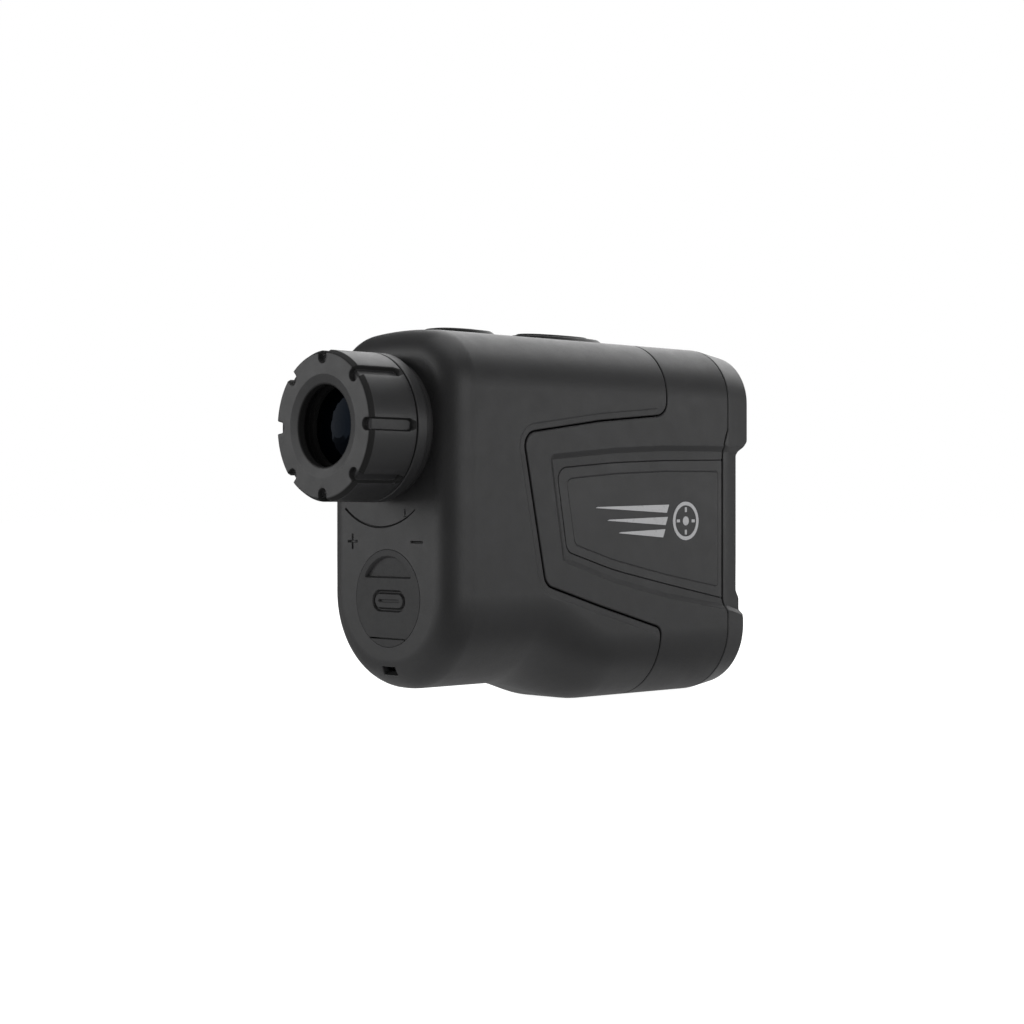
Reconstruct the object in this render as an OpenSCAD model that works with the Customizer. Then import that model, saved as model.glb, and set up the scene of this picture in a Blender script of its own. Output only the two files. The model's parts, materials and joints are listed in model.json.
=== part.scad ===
// Compact handheld laser speed and range meter.
// Frame: +Z up, +Y towards the target, +X to the user's right hand side.
// The origin is at the middle of the length and width, on the plane of the base.

/* [Body] */
// Width across the flat sides
body_w = 39.4; // [38.6:0.2:40.6]
// Height from the base to the top of the crown
body_h = 75.6; // [75:0.2:77]
// Length from the eyepiece face to the front of the bezel
overall_len = 105; // [104:0.5:106]
// Distance the eyepiece stands out behind the rear face
eyepiece_out = 16.5; // [16.5:0.1:17]
// Wall thickness of the moulded housings
wall = 2; // [1.8:0.1:2.2]
// Radius of the two upper long edges
top_r = 12; // [11:0.5:13]
// Radius of the crown across the top
crown_r = 89; // [80:1:110]
// Radius of the lower long edges at the front
lower_r_front = 14.5; // [13:0.5:15]
// Radius of the lower long edges at the rear
lower_r_rear = 19; // [17:0.5:19]
// Height of the rear underside above the base
grip_rise = 4.1; // [3:0.1:5]
// Radius of the edge all round the rear face
edge_r = 6; // [5:0.5:7]
// Amount by which the bezel draws in at its front edge
front_taper = 1.2; // [0.8:0.1:1.6]

/* [Eyepiece] */
// Height of the optical axis above the base
optic_z = 55.9; // [55.4:0.1:56.2]
// Radius of the diopter ring
ring_r = 14.7; // [14.6:0.1:15]
// Number of grip grooves round the diopter ring
groove_count = 8; // [6:1:10]
// Width of one grip groove
groove_w = 2.5; // [2:0.1:3]
// Depth of one grip groove
groove_depth = 1; // [0.6:0.1:1]
// Radius of the eye opening
eye_r = 8; // [7.6:0.1:8.2]
// Travel of the ocular either way from its middle setting
focus_travel = 1.5; // [1:0.1:1.5]

/* [Front] */
// Clear radius of the objective opening
objective_r = 12.4; // [12.2:0.1:12.6]
// Height of the laser emitter axis above the base
laser_z = 22; // [21.5:0.5:22]
// Clear radius of the emitter opening
emitter_r = 7.6; // [7.5:0.1:7.8]

/* [Controls] */
// Length of the measuring button
power_len = 19.5; // [18:0.5:20]
// Width of the measuring button
power_w = 9.8; // [9:0.2:10]
// Length of the mode button
mode_len = 11.4; // [11:0.2:12]
// Width of the mode button
mode_w = 8.4; // [8:0.2:9]
// Height of the button rims above the crown
rim_h = 0.8; // [0.6:0.1:1]
// Travel of the buttons
button_travel = 0.6; // [0.4:0.1:0.6]

/* [Port] */
// Radius of the port cover
cover_r = 9.65; // [9.4:0.05:9.7]
// Height of the port cover's centre above the base
cover_z = 22.2; // [22:0.1:22.4]

/* [Hidden] */
$fn = 64;
CORNER_STEPS = 6;

front_y = overall_len / 2;
eye_face_y = -overall_len / 2;
rear_y = eye_face_y + eyepiece_out;
inner_rear_y = rear_y + wall;
half_w = body_w / 2;
inner_half_w = half_w - wall;
FAR = 90;
EPS = 0.01;

// The underside falls from the rear to the base between these two stations
grip_back_y = -12;
grip_front_y = 10;
GRIP_STEPS = 8;
EDGE_STEPS = 5;

// Seams seen from the side, as [y, z] or [y, z, corner radius]
bezel_y = 44.6;
bezel_recess_y = 43.4;
HOUSING_SEAM = [[25, FAR], [24.6, 59.8, 3.2], [4.1, 57.9, 60], [-17.6, 54.9, 3],
                [-11.3, 24.7, 3], [4.1, 20.1, 60], [22.8, 14.9, 2], [23, -FAR / 2]];
BEZEL_SEAM = [[bezel_y, -FAR / 2], [bezel_y, 17.4], [bezel_recess_y, 20], [bezel_recess_y, 54.5],
              [bezel_y, 57.5], [bezel_y, FAR]];
// Front edge of the bezel from the brow down to the chin
BEZEL_FRONT = [[front_y, FAR], [front_y, 54.8, 1], [front_y - 3.5, 51.8, 1], [front_y - 3.5, 22],
               [front_y - 2.2, 20.4], [front_y - 2.2, 17.8], [front_y - 1.5, 17], [front_y - 1.5, -FAR / 2]];
RECESS = [[FAR, 53], [24.2, 52.8, 90], [8.9, 52, 90], [-9.6, 50.4, 1.5], [-6, 29.8, 1.5],
          [8.9, 25, 90], [24.2, 21.7, 90], [44.2, 18.5], [FAR, 11]];
PLATE = [[bezel_recess_y, 50.7], [24.2, 50.3, 90], [8.9, 49.6, 90], [-7.9, 48.2, 2.5], [-4.9, 31.2, 2.5],
         [8.9, 27.2, 90], [24.2, 24.1, 90], [bezel_recess_y, 20.4]];
recess_depth = 0.6;
plate_pocket = 1.2;
plate_t = 0.65;

// Eyepiece, from its face towards the body
ring_end_y = eye_face_y + 11.5;
flange_y = ring_end_y + 0.3;
flange_r = ring_r + 0.8;
neck_r = ring_r - 0.3;
sleeve_r = 12;
sleeve_bore = 10.6;
sleeve_start_y = eye_face_y + 2.2;
sleeve_end_y = rear_y + 5;
lip_t = 1.6;
pin_y = eye_face_y + 7.5;
pin_r = 0.6;
cell_r = sleeve_bore - 0.1;
cell_bore = 9;
lens_r = cell_bore - 0.1;
eye_lens_y = eye_face_y + 5.9;
field_lens_y = eye_face_y + 12.5;
lens_ball_r = 30;
lens_t = 4;

// Objective and emitter barrels
barrel_front_y = 46.2;
barrel_back_y = 16.2;
barrel_r = 13.6;
barrel_bore = 12.2;
objective_y = 43.6;
objective_t = 5;
objective_ball_r = 45;
hood_r = 14.2;
hood_y = 51.8;
bezel_plate_y = 46.5;
emitter_barrel_r = 9;
emitter_back_y = 20;
emitter_rim_r = 9.6;
emitter_rim_y = 49.6;
emitter_t = 3.6;
bulkhead_y = 37;
bulkhead_t = 2;

// Prism cage
cage_w = 24;
cage_back_y = -12;
cage_front_y = 16;
cage_low_z = optic_z - 10.9;
cage_h = 22;
cage_wall = 1.2;
prism_w = 19;

// Boards and battery
board_t = 1.2;
main_board_x = -15.7;
button_board_z = 69;
button_board_t = 1;
post_hole_r = 0.8;
battery_size = [10, 30, 25];
battery_pos = [-5, -18, 12];
tray_t = 1.2;
usb_z = 21.6;
usb_size = [9, 3.2];
usb_front_y = rear_y + 1.6;
usb_len = 7.3;
usb_board_t = 1;

// Housing screws, [x, z]
SCREWS = [[14, 68.4], [-14, 68.4], [12, 6.4], [-12, 6.4]];
screw_r = 1;
screw_head_r = 1.6;
screw_tip_y = 14;
boss_r = 2.2;

// Main board screws, [y, z]
BOARD_POSTS = [[-22, 26], [-22, 58], [14, 61]];
button_post_y = -5;
button_post_x = 5.5;

// Buttons
power_y = 9.9;
power_rim_y = 10.8;
power_rim = [15, 25.4];
mode_y = -17.85;
mode_rim_y = -16.75;
mode_rim = [13, 17.1];
button_gap = 0.3;
button_flange = 1;
cap_top_z = body_h + 1.2;
button_low_z = 72.1;
switch_z = button_board_z + button_board_t;

// Port cover
cover_back_y = rear_y + 1.2;
recess_back_y = rear_y + 1.3;
hinge_z = cover_z - 7.8;
hinge_gap = 0.15;
notch = [6.9, 26.2, 30.6];

// Lanyard eye
lanyard_z = 8.1;
lanyard_slot = [3.5, 2];
lanyard_pin_y = rear_y + 3.6;
lanyard_pin_r = 0.5;

BLACK = [0.09, 0.09, 0.1];
DARK = [0.05, 0.05, 0.055];
METAL = [0.72, 0.73, 0.75];
BRASS = [0.75, 0.6, 0.3];
BOARD = [0.05, 0.3, 0.16];
GLASS = [0.6, 0.72, 0.85, 0.5];
RUBBER = [0.07, 0.07, 0.075];

// ---- Shared geometry ----

function smooth(t) = let (c = min(1, max(0, t))) c * c * (3 - 2 * c);
function belly(y) = smooth((y - grip_back_y) / (grip_front_y - grip_back_y));
function floor_z(y) = grip_rise * (1 - belly(y));
function lower_r(y) = lower_r_rear + (lower_r_front - lower_r_rear) * belly(y);
function arc(c, r, from, to, steps) =
    [for (i = [0:steps]) let (a = from + (to - from) * i / steps) c + r * [cos(a), sin(a)]];
function mirrored(points) = [for (i = [len(points) - 1:-1:0]) [-points[i][0], points[i][1]]];

// Cross-section at station y, drawn in by d from the outer surface
function section(y, d) =
    let (w = half_w - d, rt = top_r - d, rb = lower_r(y) - d, rc = crown_r - d,
         crown_z = body_h - crown_r,
         corner = [w - rt, crown_z + sqrt(pow(rc - rt, 2) - pow(w - rt, 2))],
         turn = atan2(corner[1] - crown_z, corner[0]),
         side = concat(arc([w - rb, floor_z(y) + d + rb], rb, -90, 0, CORNER_STEPS),
                       arc(corner, rt, 0, turn, CORNER_STEPS)))
    concat(side, [[0, body_h - d]], mirrored(side));

// Stations along the body as [y, draw-in]
function stations(d) = concat(
    [for (i = [0:EDGE_STEPS]) let (a = 90 * i / EDGE_STEPS)
        [rear_y + edge_r - (edge_r - d) * cos(a), edge_r - (edge_r - d) * sin(a)]],
    [for (i = [0:GRIP_STEPS]) [grip_back_y + (grip_front_y - grip_back_y) * i / GRIP_STEPS, d]],
    [[bezel_y, d], [front_y, d + front_taper]]);

// The body as one closed skin, drawn in by d
module body_solid(d = 0) {
    rings = [for (s = stations(d)) [for (p = section(s[0], s[1])) [p[0], s[0], p[1]]]];
    n = len(rings[0]);
    last = len(rings) - 1;
    sides = [for (k = [0:last - 1], i = [0:n - 1], t = [0, 1])
        let (a = k * n + i, b = k * n + (i + 1) % n)
        t == 0 ? [a, b, b + n] : [a, b + n, a + n]];
    polyhedron([for (ring = rings) each ring],
               concat(sides, [[for (i = [n - 1:-1:0]) i]], [[for (i = [0:n - 1]) last * n + i]]));
}

// Outline whose corners with a third number are rounded to that radius
function rounded(points) = [for (i = [0:len(points) - 1])
    let (p = points[i], n = len(points),
         b = [p[0], p[1]],
         a = [points[(i + n - 1) % n][0], points[(i + n - 1) % n][1]],
         c = [points[(i + 1) % n][0], points[(i + 1) % n][1]],
         u = (a - b) / norm(a - b), v = (c - b) / norm(c - b))
    each len(p) < 3 ? [b] : fillet(b, u, v, p[2])];
function fillet(b, u, v, r) =
    let (half = acos(u * v) / 2, mid = (u + v) / norm(u + v),
         c = b + mid * r / sin(half), s = b + u * r / tan(half) - c, e = b + v * r / tan(half) - c,
         from = atan2(s[1], s[0]), sweep = atan2(s[0] * e[1] - s[1] * e[0], s * e))
    arc(c, r, from, from + sweep, 5);

// Extrudes an outline given as [y, z] across the body, from x1 to x2
module side_extrude(points, x1, x2) {
    translate([x1, 0, 0]) rotate([90, 0, 90]) linear_extrude(x2 - x1) polygon(points);
}
module across(points) {
    side_extrude(points, -FAR, FAR);
}
// Cylinder, cone or ring whose axis runs along +Y
module rod(r, y1, y2, x = 0, z = optic_z, r2 = undef) {
    translate([x, y1, z]) rotate([-90, 0, 0])
        cylinder(r1 = r, r2 = is_undef(r2) ? r : r2, h = y2 - y1);
}
module tube(r, bore, y1, y2, z = optic_z) {
    difference() {
        rod(r, y1, y2, z = z);
        rod(bore, y1 - 1, y2 + 1, z = z);
    }
}
module block(low, high) {
    translate(low) cube(high - low);
}
// Biconvex lens of edge radius r and middle thickness t, on an axis along Y
module lens(r, y, t, ball, z = optic_z) {
    half = asin(r / ball);
    bulge = [for (p = arc([0, t / 2 - ball], ball, 90, 90 - half, 8)) p];
    translate([0, y, z]) rotate([-90, 0, 0]) rotate_extrude()
        polygon(concat(bulge, [for (i = [len(bulge) - 1:-1:0]) [bulge[i][0], -bulge[i][1]]]));
}
module oval(size, z1, z2, y) {
    points = [for (a = [0:10:350]) [size[0] / 2 * cos(a), y + size[1] / 2 * sin(a)]];
    translate([0, 0, z1]) linear_extrude(z2 - z1) polygon(points);
}
// Obround bar along Y, w wide and h high, centred on [0, z]
module obround(w, h, y1, y2, z) {
    for (side = [-1, 1]) rod(h / 2, y1, y2, side * (w - h) / 2, z);
    block([-(w - h) / 2, y1, z - h / 2], [(w - h) / 2, y2, z + h / 2]);
}

// ---- Housings ----

module rear_bosses() {
    for (s = SCREWS) rod(boss_r, 12, 25, s[0], s[1]);
    rod(cover_r + 3, rear_y, inner_rear_y + 1.4, 0, cover_z);
    block([-4, rear_y, 3], [4, rear_y + 7.2, lanyard_z + 3.7]);
    for (p = BOARD_POSTS)
        translate([-half_w, p[0], p[1]]) rotate([0, 90, 0]) cylinder(r = 1.6, h = half_w + main_board_x);
    for (side = [-1, 1])
        translate([side * button_post_x, button_post_y, switch_z]) cylinder(r = 1.4, h = 5);
}
module rear_housing() color(BLACK) {
    difference() {
        body_solid();
        difference() {
            body_solid(wall);
            rear_bosses();
        }
        across(concat(rounded(HOUSING_SEAM), [[FAR, -FAR / 2], [FAR, FAR]]));
        rod(sleeve_r + 0.1, rear_y - 1, rear_y + 10);
        rod(cover_r + 0.2, rear_y - 1, recess_back_y, 0, cover_z);
        obround(usb_size[0] + 0.4, usb_size[1] + 0.4, rear_y, rear_y + 6, usb_z);
        for (side = [-1, 1]) rod(pin_r + 0.05, rear_y, rear_y + 6, side * 3, cover_z - 8.75);
        block([-lanyard_slot[0] / 2, rear_y - 1, lanyard_z - lanyard_slot[1] / 2],
              [lanyard_slot[0] / 2, rear_y + 4, lanyard_z + lanyard_slot[1] / 2]);
        block([-lanyard_slot[0] / 2, rear_y + 2.4, lanyard_z - 1.5],
              [lanyard_slot[0] / 2, rear_y + 5.8, lanyard_z + 1.8]);
        translate([-3.4, lanyard_pin_y, lanyard_z]) rotate([0, 90, 0]) cylinder(r = 0.52, h = 6.8);
        for (s = SCREWS) rod(screw_r + 0.05, screw_tip_y - 1, 26, s[0], s[1]);
        for (p = BOARD_POSTS)
            translate([-half_w + 1, p[0], p[1]]) rotate([0, 90, 0]) cylinder(r = post_hole_r, h = 6);
        for (side = [-1, 1])
            translate([side * button_post_x, button_post_y, switch_z - 1]) cylinder(r = post_hole_r, h = 4);
        oval([power_w, power_len] + 2 * [button_gap, button_gap], 70, 80, power_y);
        oval([mode_w, mode_len] + 2 * [button_gap, button_gap], 70, 80, mode_y);
    }
}
module front_frame() {
    difference() {
        block([-half_w, bulkhead_y, 0], [half_w, bulkhead_y + bulkhead_t, body_h]);
        rod(barrel_r + 0.1, 30, 45);
        rod(emitter_barrel_r + 0.1, 30, 45, z = laser_z);
    }
}
module side_recess(side) {
    depth = side * (half_w - recess_depth);
    side_extrude(rounded(RECESS), min(depth, side * FAR), max(depth, side * FAR));
}
module front_housing() color(BLACK) {
    difference() {
        body_solid();
        difference() {
            body_solid(wall);
            front_frame();
        }
        across(concat([[-FAR, -FAR / 2], [-FAR, FAR]], rounded(HOUSING_SEAM)));
        across(concat(BEZEL_SEAM, [[FAR, FAR], [FAR, -FAR / 2]]));
        for (side = [-1, 1]) {
            side_recess(side);
            side_extrude(rounded(PLATE), min(side * (half_w - plate_pocket), side * FAR),
                         max(side * (half_w - plate_pocket), side * FAR));
        }
        for (s = SCREWS) rod(screw_r + 0.1, bulkhead_y - 1, bulkhead_y + 4, s[0], s[1]);
    }
}
module front_bezel() color(BLACK) {
    difference() {
        union() {
            difference() {
                body_solid();
                intersection() {
                    body_solid(wall);
                    across(concat([[0, -FAR / 2], [0, FAR]],
                        [for (p = rounded(BEZEL_FRONT)) [p[0] - wall - 0.5, p[1]]]));
                }
                across(concat(BEZEL_SEAM, [[-FAR, FAR], [-FAR, -FAR / 2]]));
                across(concat(rounded(BEZEL_FRONT), [[FAR, -FAR / 2], [FAR, FAR]]));
                for (side = [-1, 1]) side_recess(side);
            }
            rod(hood_r, bezel_plate_y, hood_y);
            rod(emitter_rim_r, bezel_plate_y, emitter_rim_y, z = laser_z);
        }
        rod(objective_r, bezel_plate_y - 1, front_y + 1);
        rod(objective_r, hood_y - 1, hood_y + EPS, r2 = objective_r + 1);
        rod(emitter_r, bezel_plate_y - 1, front_y + 1, z = laser_z);
        rod(emitter_r, emitter_rim_y - 0.8, emitter_rim_y + EPS, z = laser_z, r2 = emitter_r + 0.8);
    }
}
module side_plate(side) color(BLACK) {
    inner = side * (half_w - plate_pocket);
    outer = inner + side * plate_t;
    side_extrude(rounded(PLATE), min(inner, outer), max(inner, outer));
}
module right_side_plate() {
    side_plate(1);
}
module left_side_plate() {
    side_plate(-1);
}
module lanyard_pin() color(METAL)
    translate([-3.3, lanyard_pin_y, lanyard_z]) rotate([0, 90, 0]) cylinder(r = lanyard_pin_r, h = 6.6);

// ---- Port cover ----

module cover_disc(low_z, high_z) {
    intersection() {
        rod(cover_r, rear_y - 0.2, cover_back_y, 0, cover_z);
        block([-FAR, -FAR, low_z], [FAR, FAR, high_z]);
    }
}
module port_cover() color(RUBBER) {
    notch_r = (pow(notch[0], 2) + pow(notch[2] - notch[1], 2)) / (2 * (notch[2] - notch[1]));
    difference() {
        cover_disc(hinge_z + hinge_gap, FAR);
        intersection() {
            rod(notch_r, rear_y - 1, rear_y + 0.6, 0, notch[2] - notch_r);
            block([-FAR, -FAR, notch[1]], [FAR, FAR, FAR]);
        }
        difference() {
            obround(10, 4.2, rear_y - 1, rear_y, usb_z);
            obround(9.4, 3.6, rear_y - 2, rear_y + 1, usb_z);
        }
        obround(6, 0.5, rear_y - 1, rear_y, usb_z);
    }
    obround(7.6, 1.9, cover_back_y, cover_back_y + 1, usb_z);
}
module port_cover_anchor() color(RUBBER) {
    difference() {
        cover_disc(0, hinge_z - hinge_gap);
        block([-FAR, cover_back_y - EPS, 0], [FAR, FAR, hinge_z]);
    }
    for (side = [-1, 1]) rod(pin_r, cover_back_y - EPS, rear_y + 3.4, side * 3, cover_z - 8.75);
}

// ---- Eyepiece ----

module eyepiece_collar() color(BLACK) {
    difference() {
        union() {
            rod(flange_r, flange_y, flange_y + 2.5);
            rod(neck_r + 0.5, flange_y + 2.5, flange_y + 2.9);
            rod(neck_r, flange_y + 2.9, rear_y);
            rod(sleeve_r, sleeve_start_y, sleeve_end_y);
        }
        rod(sleeve_bore, sleeve_start_y - 1, sleeve_end_y + 1);
        difference() {
            rod(13.8, rear_y - 0.9, rear_y + 1);
            rod(12.6, rear_y - 2, rear_y + 2);
            rod(sleeve_r + 1, rear_y, rear_y + 2);
        }
        block([-pin_r - 0.15, pin_y - focus_travel - 0.8, optic_z - sleeve_r - 1],
              [pin_r + 0.15, pin_y + focus_travel + 0.8, optic_z - sleeve_bore + 1]);
    }
}
module collar_seal() color(RUBBER)
    translate([0, rear_y - 0.45, optic_z]) rotate([90, 0, 0])
        rotate_extrude() translate([13.2, 0]) circle(0.44);
module collar_nut() color(METAL)
    tube(neck_r - 1, sleeve_r + 0.02, inner_rear_y + 0.02, inner_rear_y + 2.4);
module grip_groove() {
    r = groove_w / 2;
    floor_r = ring_r - groove_depth;
    block([-r, eye_face_y - 1, floor_r], [r, ring_end_y - 0.8 - r, floor_r + 5]);
    translate([0, ring_end_y - 0.8 - r, floor_r]) cylinder(r = r, h = 5);
    block([-r, eye_face_y - 1, 12 + r], [r, eye_face_y + groove_depth, floor_r + 5]);
    rod(r, eye_face_y - 1, eye_face_y + groove_depth, 0, 12 + r);
}
module diopter_ring() color(BLACK) {
    difference() {
        union() {
            rod(ring_r - 0.6, eye_face_y, eye_face_y + 1.1, r2 = ring_r);
            rod(ring_r, eye_face_y + 1.1, ring_end_y);
        }
        rod(eye_r, eye_face_y - 1, eye_face_y + 5);
        rod(eye_r + 2, eye_face_y - EPS, eye_face_y + 0.5, r2 = eye_r);
        rod(sleeve_r + 0.3, eye_face_y + lip_t, ring_end_y + 1);
        rod(sleeve_r + 1.1, pin_y - focus_travel - 0.8, pin_y + focus_travel + 0.8);
        for (i = [0:groove_count - 1])
            translate([0, 0, optic_z]) rotate([0, i * 360 / groove_count, 0]) grip_groove();
    }
}
module ocular_cell() color(DARK) {
    difference() {
        rod(cell_r, eye_lens_y - 2.1, rear_y + 3);
        rod(cell_bore, eye_lens_y - 3, eye_lens_y + 1);
        rod(cell_bore - 0.9, eye_lens_y, field_lens_y);
        rod(cell_bore, eye_lens_y + 2.4, rear_y + 4);
        translate([0, pin_y, optic_z - cell_r - 1]) cylinder(r = pin_r, h = 2.2);
    }
}
module focus_pin() color(BRASS)
    translate([0, pin_y, optic_z - sleeve_r - 0.9]) cylinder(r = pin_r, h = 2.6);
module eye_lens() color(GLASS) lens(lens_r, eye_lens_y, lens_t, lens_ball_r);
module field_lens() color(GLASS) lens(lens_r, field_lens_y, lens_t, lens_ball_r);
module ocular_retaining_ring() color(DARK)
    tube(lens_r + 0.05, lens_r - 1.1, eye_lens_y - 2, eye_lens_y - 1.02);
module ocular_spacer() color(DARK)
    tube(lens_r + 0.05, lens_r - 0.9, eye_lens_y + 2.4, field_lens_y - 1);
module field_retaining_ring() color(DARK)
    tube(lens_r + 0.05, lens_r - 1.1, field_lens_y + 1.02, field_lens_y + 1.9);

// ---- Objective, prisms and display ----

module objective_barrel() color(DARK) {
    difference() {
        union() {
            rod(barrel_r - 1, barrel_back_y, 24);
            rod(barrel_r, 24, barrel_front_y);
        }
        rod(barrel_bore - 2.4, barrel_back_y - 1, 24, r2 = barrel_bore - 1);
        rod(barrel_bore - 1, 23, barrel_front_y);
        rod(barrel_bore, objective_y - 1.15, barrel_front_y + 1);
    }
}
module objective_lens() color(GLASS)
    lens(barrel_bore - 0.1, objective_y, objective_t, objective_ball_r);
module objective_retaining_ring() color(DARK)
    tube(barrel_bore - 0.05, barrel_bore - 1.1, objective_y + 1.2, barrel_front_y);
module objective_gasket() color(RUBBER)
    tube(barrel_r, barrel_r - 1, barrel_front_y, bezel_plate_y);
module prism_cage() color(DARK) {
    difference() {
        block([-cage_w / 2, cage_back_y, cage_low_z], [cage_w / 2, cage_front_y, cage_low_z + cage_h]);
        block([-cage_w / 2 + cage_wall, cage_back_y + cage_wall, cage_low_z + cage_wall],
              [cage_w / 2 - cage_wall, cage_front_y - cage_wall, cage_low_z + cage_h - cage_wall]);
        rod(8, cage_back_y - 1, cage_back_y + 3);
        rod(9, cage_front_y - 3, cage_front_y + 1);
        translate([0, 6, cage_low_z - 1]) cylinder(r = 3, h = 3);
    }
}
module prism(points) color(GLASS) side_extrude(points, -prism_w / 2, prism_w / 2);
module half_prism() {
    low = cage_low_z + 2;
    high = low + 18;
    prism([[14.4, low], [14.4, high], [-4.4, high], [-6.1, high - 1.5], [9, low]]);
}
module roof_prism() {
    low = cage_low_z + 2;
    high = low + 18;
    prism([[8.2, low], [-7, high - 1.4], [-10.2, high - 4], [-10.2, low]]);
}
module display_panel() color([0.2, 0.3, 0.28, 0.7])
    block([-8, cage_back_y - 2.2, optic_z - 7], [8, cage_back_y - 1, optic_z + 7]);
module display_frame() color(DARK) {
    difference() {
        block([-10, cage_back_y - 3, optic_z - 9], [10, cage_back_y, optic_z + 9]);
        block([-8.05, cage_back_y - 2.25, optic_z - 7.05], [8.05, cage_back_y + 1, optic_z + 7.05]);
        rod(6.5, cage_back_y - 4, cage_back_y);
    }
}

// ---- Laser emitter and receiver ----

module laser_barrel() color(METAL) {
    difference() {
        rod(emitter_barrel_r, emitter_back_y, barrel_front_y, z = laser_z);
        rod(emitter_r - 0.8, emitter_back_y + 2, barrel_front_y, z = laser_z);
        rod(emitter_r, objective_y - 1.1, barrel_front_y + 1, z = laser_z);
        rod(1.95, emitter_back_y - 1, emitter_back_y + 3, z = laser_z);
    }
}
module laser_lens() color(GLASS)
    lens(emitter_r - 0.1, objective_y, emitter_t, lens_ball_r, laser_z);
module laser_retaining_ring() color(DARK)
    tube(emitter_r - 0.05, emitter_r - 0.9, objective_y + 1.12, barrel_front_y, laser_z);
module diode_pins(r) {
    for (a = [90, 210, 330])
        rod(r, emitter_back_y - 4, emitter_back_y - 1.2, 1.3 * cos(a), laser_z + 1.3 * sin(a));
}
module laser_diode() color(BRASS) {
    rod(2.8, emitter_back_y - 1.2, emitter_back_y, z = laser_z);
    rod(1.9, emitter_back_y, emitter_back_y + 2.3, z = laser_z);
    diode_pins(0.22);
}
module laser_board() color(BOARD) {
    difference() {
        block([-7, emitter_back_y - 3.4, laser_z - 7], [7, emitter_back_y - 2.4, laser_z + 7]);
        diode_pins(0.26);
    }
}
module receiver_sensor() color(BRASS) {
    translate([0, 6, 40.8]) cylinder(r = 2.7, h = 0.8);
    translate([0, 6, 41.6]) cylinder(r = 2.1, h = 3);
}
module receiver_board() color(BOARD) block([-6, 0, 39.8], [6, 12, 40.8]);
module receiver_shield() color(METAL) {
    difference() {
        block([-6.5, -0.5, 38.4], [6.5, 12.5, cage_low_z]);
        block([-6.1, -0.1, 38.8], [6.1, 12.1, cage_low_z + 1]);
    }
}

// ---- Boards, battery and switches ----

module main_board() color(BOARD) {
    difference() {
        block([main_board_x, -26, 22], [main_board_x + board_t, 18, 63]);
        for (p = BOARD_POSTS)
            translate([main_board_x - 1, p[0], p[1]]) rotate([0, 90, 0]) cylinder(r = 0.9, h = 4);
    }
}
module board_components() color(DARK) {
    x = main_board_x + board_t;
    block([x, -6, 26], [x + 1, 4, 36]);
    block([x, -18, 30], [x + 1, -10, 38]);
    block([x, 8, 28], [x + 0.9, 14, 33]);
    block([x, -20, 42], [x + 2.4, -14, 45]);
    block([x, 9, 38], [x + 2.2, 13, 42]);
    for (i = [0:4]) block([x, -8 + 3 * i, 40], [x + 0.8, -6.4 + 3 * i, 41]);
    for (i = [0:2])
        translate([x, -16 + 5 * i, 50]) rotate([0, 90, 0]) cylinder(r = 1.6, h = 1.4);
}
module battery() color([0.25, 0.35, 0.55]) block(battery_pos, battery_pos + battery_size);
module battery_tray() color(DARK) {
    gap = 0.1;
    difference() {
        block(battery_pos - [tray_t + gap, tray_t + gap, tray_t],
              battery_pos + [battery_size[0] + tray_t + gap, battery_size[1] + tray_t + gap, 8]);
        block(battery_pos - [gap, gap, 0], battery_pos + battery_size + [gap, gap, 0]);
    }
}
module battery_pad() color(RUBBER)
    block([-4, -6, 6.7], [4, 10, battery_pos[2] - tray_t]);
// Round wire through points, with balls at the bends
module wire(points, r) {
    for (i = [0:len(points) - 2]) {
        v = points[i + 1] - points[i];
        translate(points[i]) rotate([0, acos(v[2] / norm(v)), atan2(v[1], v[0])])
            cylinder(r = r, h = norm(v), $fn = 24);
    }
    for (i = [1:len(points) - 2]) translate(points[i]) sphere(r, $fn = 24);
}
module battery_leads() color([0.6, 0.1, 0.1]) {
    top = battery_pos[2] + battery_size[2];
    for (i = [0, 1]) {
        y = -16.2 + 2.4 * i;
        wire([[-2, y, top], [-2, y, 43.5], [main_board_x + board_t + 2.4, y, 43.5]], 0.55);
    }
}
module button(size, y) color(DARK) {
    dish_r = 80;
    difference() {
        oval(size, button_low_z, cap_top_z, y);
        translate([0, y, cap_top_z - 0.4 + dish_r]) sphere(dish_r);
    }
    oval(size + 2 * [button_flange, button_flange], button_low_z, button_low_z + 0.7, y);
}
module button_rim(outer, y, hole, hole_y) color(BLACK) {
    difference() {
        intersection() {
            oval(outer, body_h - 3, body_h + 3, y);
            body_solid(-rim_h);
        }
        body_solid();
        oval(hole + 2 * [button_gap, button_gap], body_h - 4, body_h + 4, hole_y);
    }
}
module power_button() button([power_w, power_len], power_y);
module mode_button() button([mode_w, mode_len], mode_y);
module power_button_rim() button_rim(power_rim, power_rim_y, [power_w, power_len], power_y);
module mode_button_rim() button_rim(mode_rim, mode_rim_y, [mode_w, mode_len], mode_y);
module button_board() color(BOARD) {
    difference() {
        block([-7, -24, button_board_z], [7, 20, switch_z]);
        for (side = [-1, 1])
            translate([side * button_post_x, button_post_y, 60]) cylinder(r = 0.9, h = 20);
    }
}
module button_switches() color(METAL) {
    for (y = [power_y, mode_y]) {
        block([-2.25, y - 2.25, switch_z], [2.25, y + 2.25, switch_z + 1]);
        translate([0, y, switch_z + 1]) cylinder(r = 1.2, h = button_low_z - button_travel - switch_z - 1.05);
    }
}
module usb_socket() color(METAL) {
    difference() {
        obround(usb_size[0], usb_size[1], usb_front_y, usb_front_y + usb_len, usb_z);
        obround(usb_size[0] - 0.6, usb_size[1] - 0.6, usb_front_y - 1, usb_front_y + 6.4, usb_z);
    }
    block([-3.2, usb_front_y + 1.4, usb_z - 0.35], [3.2, usb_front_y + 6.6, usb_z + 0.35]);
}
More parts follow.
